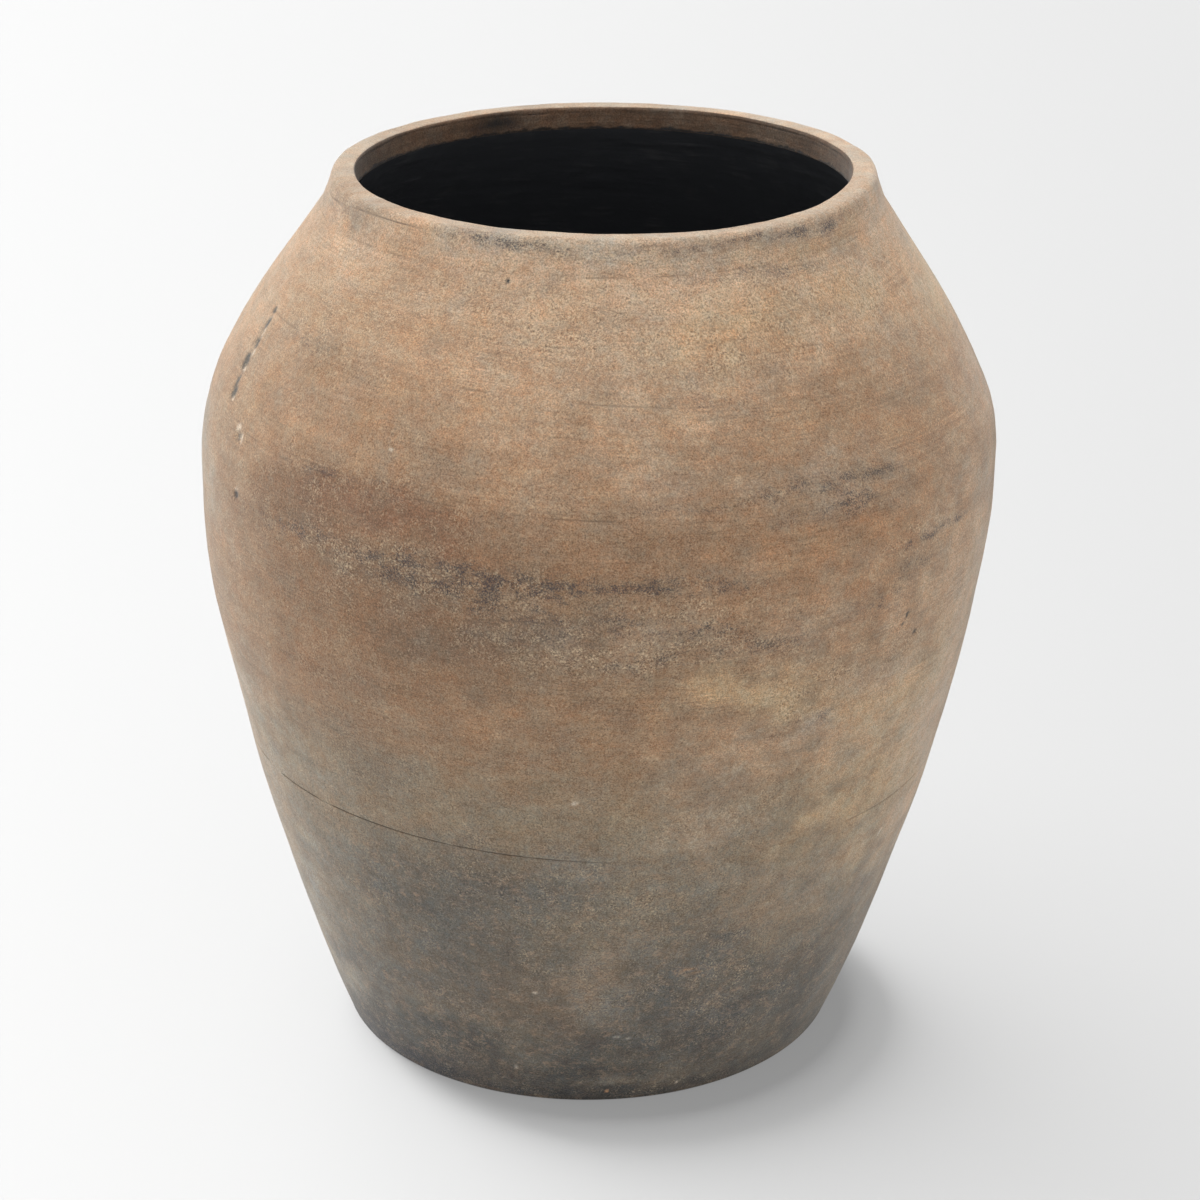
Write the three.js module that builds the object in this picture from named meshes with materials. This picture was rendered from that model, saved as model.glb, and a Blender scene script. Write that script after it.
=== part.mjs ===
// A hand-built terracotta urn, in millimetres, +Z up.
// The origin lies on the floor under the middle of the widest ring, and -Y is the front.
// The wall is five clay rings, thrown one by one and luted together while leather-hard.
// Each ring's level rim has a V groove, and the ring above stands in it with a matching tongue.

import * as THREE from 'three';

// Heights of the clay pieces, from the floor up
const footSlabThickness = 14;
const lowerWallHeight = 165;
const bellyWallHeight = 164.5;
const shoulderWallHeight = 83.5;
const collarWallHeight = 54;
const lipHeight = 19;

// The outer form: a foot, one widest ring and a neck, joined by two smooth curves
const footRadius = 144;
const footSpread = 46.5;
const footRise = 119;
const bellyRadius = 221.4;
const bellyHeight = 321.4;
const bellyRoundBelow = 53.3;
const bellyRoundAbove = 48.5;
const neckSpread = 68.1;
const neckRise = 95.2;

// The wall, its joints and its foot
const wallThickness = 11.2;
const keyDepth = 3.6;
const seatGap = 0.35;
const floorFilletRadius = 14;
const heelWear = 2;

// The lip ring, drawn from the mouth outwards
const mouthRadius = 134;
const lipThickness = 12.7;
const throatDepth = 6.6;
const lipFaceHeight = 8;
const lipFlare = 2.4;
const lipThroatRound = 3;
const lipOuterRound = 4.2;
const lipInnerRound = 1.8;
const collarFaceHeight = 13;

// The black sealing coat brushed over the inside
const coatThickness = 1;
const coatGap = 0.35;
const coatFeather = 5;

// How the pot settled: each joint's tilt in degrees, down to the right, and each ring's sideways shift
const lowerJointTilt = 1.3;
const bellyJointTilt = 1.9;
const shoulderJointTilt = 3.2;
const footShift = -5.7;
const lowerJointShift = -1.6;
const bellyJointShift = 0.6;
const shoulderJointShift = 0.9;
const rimShift = 3;

// Flat segments round the pot, up each ring's wall, and along each small curve
const roundSegments = 56;
const lowerSegments = 6;
const bellySegments = 6;
const shoulderSegments = 4;
const collarSegments = 3;
const edgeSegments = 3;

// Radii and heights that follow from the pieces
const lipOuterRadius = mouthRadius + lipThickness;
const neckRadius = lipOuterRadius + throatDepth;
const slabTop = footSlabThickness;
const lowerJoint = slabTop + lowerWallHeight;
const bellyJoint = lowerJoint + bellyWallHeight;
const shoulderJoint = bellyJoint + shoulderWallHeight;
const neckJoint = shoulderJoint + collarWallHeight;
const rimTop = neckJoint + lipHeight;
const arrisHeight = rimTop - collarFaceHeight;

const lowerFlank = new THREE.CubicBezierCurve(
  new THREE.Vector2(footRadius, 0),
  new THREE.Vector2(footRadius + footSpread, footRise),
  new THREE.Vector2(bellyRadius, bellyHeight - bellyRoundBelow),
  new THREE.Vector2(bellyRadius, bellyHeight),
);
const upperFlank = new THREE.CubicBezierCurve(
  new THREE.Vector2(bellyRadius, bellyHeight),
  new THREE.Vector2(bellyRadius, bellyHeight + bellyRoundAbove),
  new THREE.Vector2(neckRadius + neckSpread, neckJoint - neckRise),
  new THREE.Vector2(neckRadius, neckJoint),
);

// The outer radius at a height, and how much it grows per millimetre of height.
// The curve's parameter is found by halving, since both flanks rise all the way.
function outlineAt(height) {
  const flank = height < bellyHeight ? lowerFlank : upperFlank;
  let low = 0;
  let high = 1;
  for (let halving = 0; halving < 40; halving += 1) {
    const middle = (low + high) / 2;
    if (flank.getPoint(middle).y < height) {
      low = middle;
    } else {
      high = middle;
    }
  }
  const tangent = flank.getTangent(low);
  return { radius: flank.getPoint(low).x, slope: tangent.x / tangent.y };
}

// A point of the section through the wall. Depth 0 lies on the outer face and 1 on the inner face.
// The inner face runs parallel to the outer one, and offset moves the point further inwards.
function wallPoint(height, depth, offset = 0) {
  const { radius, slope } = outlineAt(height);
  const slant = Math.hypot(1, slope);
  return new THREE.Vector2(radius - (wallThickness * depth + offset) * slant, height);
}

// The bottom of a V groove or tongue, halfway through the wall and below the joint's level rim.
function keyPoint(height) {
  const middle = wallPoint(height, 0.5);
  return new THREE.Vector2(middle.x, height - keyDepth);
}

// Evenly spaced heights from low to high, both included.
function spread(low, high, steps) {
  return Array.from({ length: steps + 1 }, (_, i) => low + ((high - low) * i) / steps);
}

// Points on an arc, with the angle in radians from the +X direction of the section.
function arc(centreX, centreY, radius, start, end, steps) {
  return spread(start, end, steps).map(
    (angle) => new THREE.Vector2(centreX + radius * Math.cos(angle), centreY + radius * Math.sin(angle)),
  );
}

// The coil pressed into the corner between floor and wall, as a concave fillet that touches both.
const filletSlope = outlineAt(slabTop + floorFilletRadius).slope;
const filletTurn = Math.atan2(1, filletSlope);
const filletTop = slabTop + floorFilletRadius * (1 - Math.cos(filletTurn));
const filletCentre = new THREE.Vector2(
  wallPoint(filletTop, 1).x - floorFilletRadius * Math.sin(filletTurn),
  slabTop + floorFilletRadius,
);

// The fillet from the wall down to a turn above straight down, at an offset from the clay.
function floorFillet(offset, lastTurn) {
  const down = -Math.PI / 2;
  const radius = floorFilletRadius - offset;
  return arc(filletCentre.x, filletCentre.y, radius, down + filletTurn, down + lastTurn, edgeSegments);
}

const lowerInside = spread(filletTop, lowerJoint, lowerSegments);
const bellyHeights = spread(lowerJoint, bellyJoint, bellySegments);
const shoulderHeights = spread(bellyJoint, shoulderJoint, shoulderSegments);
const collarHeights = spread(shoulderJoint, neckJoint, collarSegments);

// The same heights with the lowest one lifted off the ring below.
function seated(heights) {
  return [heights[0] + seatGap, ...heights.slice(1)];
}

// A ring of wall: outer face up, grooved rim, inner face down, tongued foot.
function wallRing(heights) {
  const rises = seated(heights);
  const outer = rises.map((height) => wallPoint(height, 0));
  const inner = rises.map((height) => wallPoint(height, 1)).reverse();
  return [...outer, keyPoint(rises.at(-1)), ...inner, keyPoint(rises[0]), outer[0]];
}

// The lowest ring of wall also holds the fillet, which thins out to an edge on the slab.
function lowerWallSection() {
  const foot = slabTop + seatGap;
  const outer = spread(foot, lowerJoint, lowerSegments).map((height) => wallPoint(height, 0));
  const inner = lowerInside.map((height) => wallPoint(height, 1)).reverse();
  const toeTurn = Math.acos(1 - seatGap / floorFilletRadius);
  const fillet = floorFillet(0, toeTurn).slice(1);
  return [...outer, keyPoint(lowerJoint), ...inner, ...fillet, wallPoint(foot, 1), keyPoint(foot), outer[0]];
}

// The slab is flat on both faces, has a worn heel, and carries the first groove on its margin.
function footSlabSection() {
  const edge = spread(heelWear, slabTop, 2).map((height) => wallPoint(height, 0));
  return [
    new THREE.Vector2(0, 0),
    new THREE.Vector2(footRadius - heelWear, 0),
    ...edge,
    keyPoint(slabTop),
    wallPoint(slabTop, 1),
    new THREE.Vector2(0, slabTop),
  ];
}

// The lip: a throat that turns the shoulder up into a face that leans in, a level land with
// soft edges, an upright collar face inside, and an undercut that runs back into the wall.
function lipSection() {
  const foot = neckJoint + seatGap;
  const faceLow = rimTop - lipFaceHeight;
  const faceFoot = lipOuterRadius + lipFlare;
  const lean = Math.atan2(lipFlare, lipFaceHeight);
  const throat = new THREE.QuadraticBezierCurve(
    new THREE.Vector2(neckRadius, foot),
    new THREE.Vector2(faceFoot + lipThroatRound * Math.tan(lean), faceLow - lipThroatRound),
    new THREE.Vector2(faceFoot, faceLow),
  ).getPoints(edgeSegments);
  const quarter = Math.PI / 2;
  const inset = (lipOuterRound * (1 - Math.sin(lean))) / Math.cos(lean);
  const outerCentre = [lipOuterRadius - inset, rimTop - lipOuterRound];
  const innerCentre = [mouthRadius + lipInnerRound, rimTop - lipInnerRound];
  return [
    ...throat,
    ...arc(...outerCentre, lipOuterRound, lean, quarter, edgeSegments),
    ...arc(...innerCentre, lipInnerRound, quarter, 2 * quarter, edgeSegments),
    new THREE.Vector2(mouthRadius, arrisHeight),
    new THREE.Vector2(wallPoint(neckJoint, 1).x, foot),
    new THREE.Vector2(keyPoint(neckJoint).x, foot - keyDepth),
    throat[0],
  ];
}

// One face of the coat, at an offset from the clay, from the neck down the wall and over the floor.
function coatFace(offset) {
  const heights = [
    ...lowerInside,
    ...bellyHeights.slice(1),
    ...shoulderHeights.slice(1),
    ...collarHeights.slice(1),
  ];
  const wall = heights.map((height) => wallPoint(height, 1, offset)).reverse();
  return [...wall, ...floorFillet(offset, 0).slice(1), new THREE.Vector2(0, slabTop + offset)];
}

// The coat lies on the clay and feathers out to nothing just under the collar's lower arris.
function coatSection() {
  const outside = coatFace(coatGap).reverse();
  const inside = coatFace(coatGap + coatThickness);
  const neck = wallPoint(neckJoint, 1);
  const edgeHeight = arrisHeight - seatGap;
  const undercut = (neck.x - mouthRadius) / (arrisHeight - neckJoint);
  const reach = coatGap * Math.hypot(1, undercut);
  const edge = new THREE.Vector2(neck.x - undercut * (edgeHeight - neckJoint) - reach, edgeHeight);
  const full = inside.findIndex((point) => point.y <= edgeHeight - coatFeather);
  return [...outside, edge, ...inside.slice(full)];
}

// The settled heights, each with its tilt as a rise per millimetre and its sideways shift.
const slopeOf = (degrees) => Math.tan(THREE.MathUtils.degToRad(degrees));
const settledRings = [
  { height: 0, tilt: 0, shift: footShift },
  { height: lowerJoint, tilt: slopeOf(lowerJointTilt), shift: lowerJointShift },
  { height: bellyJoint, tilt: slopeOf(bellyJointTilt), shift: bellyJointShift },
  { height: shoulderJoint, tilt: slopeOf(shoulderJointTilt), shift: shoulderJointShift },
  { height: neckJoint, tilt: 0, shift: rimShift },
];

// A ring's tilt or shift at any height, eased from one settled ring to the next.
function settledAt(height, what) {
  const above = settledRings.findIndex((ring) => ring.height >= height);
  if (above === 0) {
    return settledRings[0][what];
  }
  if (above < 0) {
    return settledRings.at(-1)[what];
  }
  const below = settledRings[above - 1];
  const next = settledRings[above];
  const ease = THREE.MathUtils.smoothstep(height, below.height, next.height);
  return THREE.MathUtils.lerp(below[what], next[what], ease);
}

// Moves one point of the true turned form to where the clay settled.
// The turning line through the point tilts down to the right, and the point keeps its depth
// below the outer face, so that the outline keeps its curve. Then its ring shifts sideways.
function settle(point) {
  const radius = Math.hypot(point.x, point.y);
  const depth = outlineAt(point.z).radius - radius;
  const height = point.z - point.x * settledAt(point.z, 'tilt');
  const settledRadius = radius > 0 ? outlineAt(height).radius - depth : 0;
  const stretch = radius > 0 ? settledRadius / radius : 1;
  point.set(point.x * stretch + settledAt(height, 'shift'), point.y * stretch, height);
}

// Turns a section into a closed solid, stands it up and lets it settle.
function turned(name, section, colour, roughness) {
  const geometry = new THREE.LatheGeometry(section, roundSegments);
  geometry.rotateX(Math.PI / 2);
  const places = geometry.getAttribute('position');
  const point = new THREE.Vector3();
  for (let i = 0; i < places.count; i += 1) {
    point.fromBufferAttribute(places, i);
    settle(point);
    places.setXYZ(i, point.x, point.y, point.z);
  }
  geometry.computeVertexNormals();
  const material = new THREE.MeshStandardMaterial({ color: colour, roughness, metalness: 0 });
  const mesh = new THREE.Mesh(geometry, material);
  mesh.name = name;
  return mesh;
}

const smokedClay = 0x5f5348;
const bakedClay = 0x8a6a52;
const redClay = 0x86593f;
const paleClay = 0x9c7a5c;
const wornClay = 0xb79c84;
const pitch = 0x141516;

const group = new THREE.Group();
group.add(
  turned('foot_slab', footSlabSection(), smokedClay, 0.9),
  turned('lower_wall', lowerWallSection(), smokedClay, 0.85),
  turned('belly_wall', wallRing(bellyHeights), bakedClay, 0.82),
  turned('shoulder_wall', wallRing(shoulderHeights), redClay, 0.82),
  turned('collar_wall', wallRing(collarHeights), paleClay, 0.85),
  turned('lip_ring', lipSection(), wornClay, 0.9),
  turned('interior_seal_coat', coatSection(), pitch, 0.6),
);

export default group;
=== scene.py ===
"""A hand-built terracotta urn, dressed for its portrait.

The urn is seven pieces round one turned form: a foot slab, four rings of wall, a lip, and the
black sealer brushed over the inside. Each piece is a closed surface worked out on a grid.
Lengths are in metres. Angles go round the pot in degrees from the front, which is -Y, towards
+X. +Z is up, and the origin lies on the floor under the middle of the widest ring.
"""

import logging
import math
from dataclasses import dataclass, field
from enum import Enum
from functools import cached_property
from itertools import product
from typing import TypeVar

import bpy
import numpy as np
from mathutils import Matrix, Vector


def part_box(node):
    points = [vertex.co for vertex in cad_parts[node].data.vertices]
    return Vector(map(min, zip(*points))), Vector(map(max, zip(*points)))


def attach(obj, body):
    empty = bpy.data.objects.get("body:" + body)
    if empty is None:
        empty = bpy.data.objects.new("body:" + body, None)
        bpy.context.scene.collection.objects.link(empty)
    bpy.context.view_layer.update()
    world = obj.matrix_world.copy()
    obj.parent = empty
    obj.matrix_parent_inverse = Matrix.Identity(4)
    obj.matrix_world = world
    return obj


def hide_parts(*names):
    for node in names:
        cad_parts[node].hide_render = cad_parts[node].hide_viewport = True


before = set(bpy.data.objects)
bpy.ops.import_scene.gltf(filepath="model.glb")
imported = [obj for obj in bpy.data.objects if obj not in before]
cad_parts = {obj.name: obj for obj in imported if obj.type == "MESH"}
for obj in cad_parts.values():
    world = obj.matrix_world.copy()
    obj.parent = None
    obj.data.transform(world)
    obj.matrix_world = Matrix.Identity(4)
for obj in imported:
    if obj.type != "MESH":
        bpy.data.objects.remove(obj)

Array = np.ndarray
Station = tuple[float, float]
Colour = tuple[float, float, float]
Socket = bpy.types.NodeSocket
Material = bpy.types.Material
Kind = TypeVar("Kind")

LOG = logging.getLogger("urn")
MM = 0.001
# How far above a hairline the extra rows lie, in millimetres
NEAR_A_LINE = (-1.7, -1.0, -0.6, -0.3, 0.0, 0.3, 0.6, 1.0, 1.7)
# Five places side by side, and how much each counts in an average of them
BLUR = ((-2, 1 / 16), (-1, 4 / 16), (0, 6 / 16), (1, 4 / 16), (2, 1 / 16))


def eased(share: Array) -> Array:
    """A share from 0 to 1 with a soft start and end: three squares less two cubes."""
    share = np.clip(share, 0.0, 1.0)
    return share * share * (3.0 - 2.0 * share)


def hump(distance: Array) -> Array:
    """A soft bump, 1 at distance 0 and near 0 past 2: e to the minus distance squared."""
    return np.exp(-distance * distance)


def between(value: Array, stations: tuple[Station, ...]) -> Array:
    """Straight lines from one (value, result) station to the next."""
    places, results = zip(*stations)
    return np.interp(value, places, results)


def round_pot(angle: Array, stations: tuple[Station, ...]) -> Array:
    """As between, for angles in degrees, closing on itself round the pot."""
    places, results = zip(*stations)
    return np.interp(angle, places, results, period=360.0)


def between_softly(value: Array, stations: tuple[Station, ...], blur: float) -> Array:
    """As between, but averaged over five values a blur apart, so that no station makes a crease."""
    return sum(weight * between(value + step * blur, stations) for step, weight in BLUR)


def softened(angle: Array, stations: tuple[Station, ...], blur: float) -> Array:
    """As round_pot, but averaged over five angles a blur apart."""
    return sum(weight * round_pot(angle + step * blur, stations) for step, weight in BLUR)


def apart(angle: Array, middle: float) -> Array:
    """How far an angle lies from another, from -180 to 180 degrees."""
    return (angle - middle + 180.0) % 360.0 - 180.0


def mixed(colour: Array, other: Array, share: Array) -> Array:
    """Two colours blended, the share being the second one's."""
    return colour + (other - colour) * share[..., None]


def laid(kind: type[Kind], *rows: tuple) -> tuple[Kind, ...]:
    """A table's rows, each made into one thing of a kind."""
    return tuple(kind(*row) for row in rows)


def placed(name: str, data: bpy.types.ID) -> bpy.types.Object:
    """A new object that holds some data, put in the scene."""
    obj = bpy.data.objects.new(name, data)
    bpy.context.scene.collection.objects.link(obj)
    return obj


def reflectance(red: float, green: float, blue: float) -> Colour:
    """A colour as read on a display, 0 to 255, turned into linear reflectances by the sRGB curve."""
    share = np.array([red, green, blue]) / 255.0
    linear = np.where(share <= 0.04045, share / 12.92, ((share + 0.055) / 1.055) ** 2.4)
    return tuple(float(value) for value in linear)


@dataclass(frozen=True)
class Mottle:
    """Seeded random values that vary smoothly in space.

    Each corner of a cubic lattice has a random value, worked out from its whole-number place by
    multiplying and mixing bits. Inside a cell the eight corners are blended with eased weights.
    Each further layer halves the cells and the heights.
    """

    size: float
    seed: int
    layers: int = 3
    along: float = 1.0

    def at(self, places: Array) -> Array:
        """Values from about -1 to 1.

        Args:
            places: points, with x, y and z in the last axis.

        Returns:
            one value for each point. Features are `along` times longer across z than along it.
        """
        stretch = np.array([self.along, self.along, 1.0]) * self.size
        total = np.zeros(places.shape[:-1])
        reach = 0.0
        for layer in range(self.layers):
            weight = 0.5**layer
            total += weight * self._cells(places / stretch * 2.0**layer, self.seed + 101 * layer)
            reach += weight
        return total / reach

    @staticmethod
    def _cells(places: Array, seed: int) -> Array:
        """One layer with cells of size 1.

        Args:
            places: points, in cells.
            seed: the layer's own.

        Returns:
            the layer's values, from about -1 to 1.
        """
        cell = np.floor(places)
        part = places - cell
        ease = part**3 * (part * (part * 6.0 - 15.0) + 10.0)
        whole = cell.astype(np.int64).astype(np.uint32)
        keys, shares = [], []
        for axis, prime in enumerate((73856093, 19349663, 83492791)):
            low = whole[..., axis] * np.uint32(prime)
            keys.append((low, low + np.uint32(prime)))
            shares.append((1.0 - ease[..., axis], ease[..., axis]))
        start = np.uint32(seed * 2654435761 & 0xFFFFFFFF)
        total = np.zeros(places.shape[:-1])
        for i, j, k in product((0, 1), repeat=3):
            bits = keys[0][i] ^ keys[1][j] ^ keys[2][k] ^ start
            bits = (bits ^ (bits >> np.uint32(15))) * np.uint32(2246822519)
            bits = (bits ^ (bits >> np.uint32(13))) * np.uint32(3266489917)
            value = ((bits ^ (bits >> np.uint32(16))) & np.uint32(0xFFFF)) / 32767.5 - 1.0
            total += shares[0][i] * shares[1][j] * shares[2][k] * value
        return total * 1.7


@dataclass(frozen=True)
class UrnForm:
    """The turned form, its wall, and how the clay settled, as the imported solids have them."""

    foot_radius: float = 0.144
    foot_spread: float = 0.0465
    foot_rise: float = 0.119
    belly_radius: float = 0.2214
    belly_height: float = 0.3214
    belly_round_below: float = 0.0533
    belly_round_above: float = 0.0485
    neck_radius: float = 0.1533
    neck_spread: float = 0.0681
    neck_rise: float = 0.0952
    wall: float = 0.0112
    key_depth: float = 0.0036
    seat_gap: float = 0.00035
    slab_top: float = 0.014
    lower_joint: float = 0.179
    belly_joint: float = 0.3435
    shoulder_joint: float = 0.427
    neck_joint: float = 0.481
    rim_top: float = 0.5
    mouth: float = 0.134
    collar_face: float = 0.013
    fillet: float = 0.014
    lower_tilt: float = 1.3
    belly_tilt: float = 1.9
    shoulder_tilt: float = 3.2
    leftmost: float = -0.22089
    curve_steps: int = 1500
    # The middle of each ring, sideways, from the floor up
    drift: tuple[Station, ...] = (
        (0.000, -0.0058), (0.054, -0.0043), (0.101, -0.0035), (0.170, -0.0021), (0.204, -0.0013),
        (0.226, -0.0013), (0.269, -0.0016), (0.300, -0.0004), (0.318, 0.0003), (0.345, 0.0005),
        (0.373, 0.0011), (0.391, 0.0002), (0.409, 0.0002), (0.429, 0.0012), (0.481, 0.0031),
        (0.500, 0.0034),
    )
    drift_blur: float = 0.006

    @cached_property
    def flanks(self) -> tuple[Array, Array, Array]:
        """Heights, radii and slopes up the two flanks, each a cubic Bezier curve.

        Returns:
            the three, each from the foot up.
        """
        share = np.linspace(0.0, 1.0, self.curve_steps)[:, None]
        belly = self.belly_radius
        lower = (
            (self.foot_radius, 0.0),
            (self.foot_radius + self.foot_spread, self.foot_rise),
            (belly, self.belly_height - self.belly_round_below),
            (belly, self.belly_height),
        )
        upper = (
            (belly, self.belly_height),
            (belly, self.belly_height + self.belly_round_above),
            (self.neck_radius + self.neck_spread, self.neck_joint - self.neck_rise),
            (self.neck_radius, self.neck_joint),
        )
        places, runs = [], []
        for points in (lower, upper):
            a, b, c, d = (np.array(point) for point in points)
            rest = 1.0 - share
            places.append(rest**3 * a + 3 * rest**2 * share * b + 3 * rest * share**2 * c + share**3 * d)
            runs.append(rest**2 * (b - a) + 2 * rest * share * (c - b) + share**2 * (d - c))
        place = np.vstack(places)
        run = np.vstack(runs)
        return place[:, 1], place[:, 0], run[:, 0] / run[:, 1]

    def radius(self, height: Array) -> Array:
        """The outer radius at a height."""
        heights, radii, _ = self.flanks
        return np.interp(height, heights, radii)

    def slope(self, height: Array) -> Array:
        """How much the outer radius grows for each metre of height."""
        heights, _, slopes = self.flanks
        return np.interp(height, heights, slopes)

    def inside(self, height: Array, depth: Array = 1.0, offset: float = 0.0) -> Array:
        """The radius at a depth in the wall, 0 outside and 1 inside, and an offset further in."""
        slant = np.hypot(1.0, self.slope(height))
        return self.radius(height) - (self.wall * depth + offset) * slant

    @cached_property
    def fillet_fit(self) -> tuple[float, float, float]:
        """How the coil pressed into the corner over the slab meets the wall.

        Returns:
            the turn that its arc ends at, the height it reaches and the radius of its middle.
        """
        turn = math.atan2(1.0, float(self.slope(self.slab_top + self.fillet)))
        top = self.slab_top + self.fillet * (1.0 - math.cos(turn))
        return turn, top, float(self.inside(top)) - self.fillet * math.sin(turn)

    def tilt(self, height: Array) -> Array:
        """How far a turning line drops for each metre to the right, eased from joint to joint.

        Args:
            height: heights on the true form.

        Returns:
            the drop at each, in metres.
        """
        stations = (
            (0.0, 0.0),
            (self.lower_joint, math.tan(math.radians(self.lower_tilt))),
            (self.belly_joint, math.tan(math.radians(self.belly_tilt))),
            (self.shoulder_joint, math.tan(math.radians(self.shoulder_tilt))),
            (self.neck_joint, 0.0),
        )
        tilt = np.zeros(np.shape(height))
        for (low, start), (high, end) in zip(stations, stations[1:]):
            ease = eased((height - low) / (high - low))
            tilt = np.where(height >= low, start + (end - start) * ease, tilt)
        return tilt

    def shift(self, height: Array) -> Array:
        """How far a ring's middle lies to the right: its stations, averaged over five near heights."""
        return between_softly(height, self.drift, self.drift_blur)

    def dropped(self, angle: Array, height: Array, radius: Array) -> Array:
        """The height that a point comes to, its turning line dropping to the right by the tilt."""
        return height - radius * np.sin(np.radians(angle)) * self.tilt(height)

    def settle(self, angle: Array, height: Array, depth: Array) -> Array:
        """Moves points of the true turned form to where the clay settled.

        The turning line through a point drops to the right, the point keeps its depth below the
        outer face, and then its ring shifts sideways.

        Args:
            angle: degrees round the pot.
            height: height on the true form.
            depth: how far inside the outer face, along the radius.

        Returns:
            x, y and z in a last axis.
        """
        turn = np.radians(angle)
        radius = self.radius(height) - depth
        dropped = self.dropped(angle, height, radius)
        settled = np.where(radius > 1e-9, self.radius(dropped) - depth, 0.0)
        across = settled * np.sin(turn) + self.shift(dropped)
        return np.stack([across, -settled * np.cos(turn), dropped], axis=-1)


@dataclass(frozen=True)
class TurningLine:
    """A hairline that runs round the pot where two rings meet or a tool rested.

    Its strength is given from place to place round the pot.
    """

    height: float
    strength: tuple[Station, ...]
    depth: float = 0.0003
    width: float = 0.00036
    broken: float = 0.3
    seed: int = 1
    climb: tuple[Station, ...] = ((0.0, 0.0),)

    def trace(self, angle: Array, height: Array, places: Array) -> Array:
        """How strongly the line shows at each point: a narrow hump, broken up by a mottle."""
        above = height - self.height - round_pot(angle, self.climb)
        shown = round_pot(angle, self.strength) * hump(above / self.width)
        gaps = Mottle(0.008, self.seed, 3, along=2.0).at(places)
        return shown * eased(0.9 + (gaps - self.broken) * 1.6)


class Tone(Enum):
    """What the fire, the smoke and years of handling left on the clay, as linear reflectances. The pale
    ones also paint sheen and highlight where clouds lay them near the outline and on the lip.
    """

    PALE = reflectance(201, 172, 146)
    TAN = reflectance(189, 158, 130)
    CLAY = reflectance(176, 144, 116)
    BROWN = reflectance(160, 131, 105)
    OLIVE = reflectance(151, 133, 112)
    DRAB = reflectance(133, 122, 108)
    UMBER = reflectance(107, 99, 90)
    SLATE = reflectance(80, 78, 75)
    COAL = reflectance(66, 64, 62)
    RUST = reflectance(135, 104, 81)
    APRICOT = reflectance(194, 150, 113)
    OCHRE = reflectance(201, 174, 139)
    ASH = reflectance(151, 143, 132)
    SMOKE = reflectance(98, 96, 93)
    SOOT = reflectance(54, 55, 61)
    INK = reflectance(44, 51, 64)
    CHALK = reflectance(228, 216, 200)
    BONE = reflectance(190, 169, 149)
    STRAW = reflectance(228, 206, 172)
    BRICK = reflectance(160, 113, 84)

    @property
    def colour(self) -> Array:
        """The tone as an array."""
        return np.array(self.value)


@dataclass(frozen=True)
class Spot:
    """Somewhere on the outer face: the angle and height of its middle, and how far it reaches.

    Angles are in degrees and heights in millimetres. A width is in degrees unless it says so.
    """

    angle: float
    height: float
    wide: float
    tall: float


@dataclass(frozen=True)
class Cloud(Spot):
    """A soft patch of one tone, with a ragged edge.

    It may lean: its middle then rises by some millimetres for each degree to the right.
    """

    tone: Tone
    amount: float
    lean: float = 0.0


@dataclass(frozen=True)
class Patch(Spot):
    """A place where flecks or soot gather, and how much."""

    amount: float

    def spread(self, angle: Array, height: Array) -> Array:
        """How strongly it shows at each point."""
        across = apart(angle, self.angle) / self.wide
        up = (height / MM - self.height) / self.tall
        return self.amount * hump(np.hypot(across, up))


@dataclass(frozen=True)
class Mark(Spot):
    """A chip, pit or blot, its width in millimetres: its depth, tone, how much of it, and slant."""

    depth: float
    tone: Tone
    amount: float = 1.0
    slant: float = 0.0

    def spread(self, angle: Array, height: Array, radius: Array) -> Array:
        """How strongly it shows at each point, from distances measured along the face.

        Args:
            angle: degrees round the pot.
            height: height of each point.
            radius: the pot's radius there.

        Returns:
            1 in the middle of the mark, falling to 0 round it.
        """
        across = np.radians(apart(angle, self.angle)) * radius / MM
        up = height / MM - self.height
        turn = math.radians(self.slant)
        along = across * math.cos(turn) + up * math.sin(turn)
        over = up * math.cos(turn) - across * math.sin(turn)
        return hump(np.hypot(along / self.wide, over / self.tall) ** 1.5)


(
    PALE, TAN, CLAY, BROWN, OLIVE, DRAB, UMBER, SLATE, COAL, RUST,
    APRICOT, OCHRE, ASH, SMOKE, SOOT, INK, CHALK, BONE, STRAW, BRICK,
) = Tone

# The tones that the fire left from the floor up, with their heights in millimetres
FIRE_BANDS: tuple[tuple[float, Tone], ...] = (
    (0.0, COAL), (14.0, SLATE), (34.0, SLATE), (72.0, UMBER), (122.0, DRAB), (150.0, DRAB),
    (205.0, OLIVE), (250.0, BROWN), (355.0, BROWN), (395.0, CLAY), (455.0, TAN), (484.0, PALE),
    (492.0, BONE),
)
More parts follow.
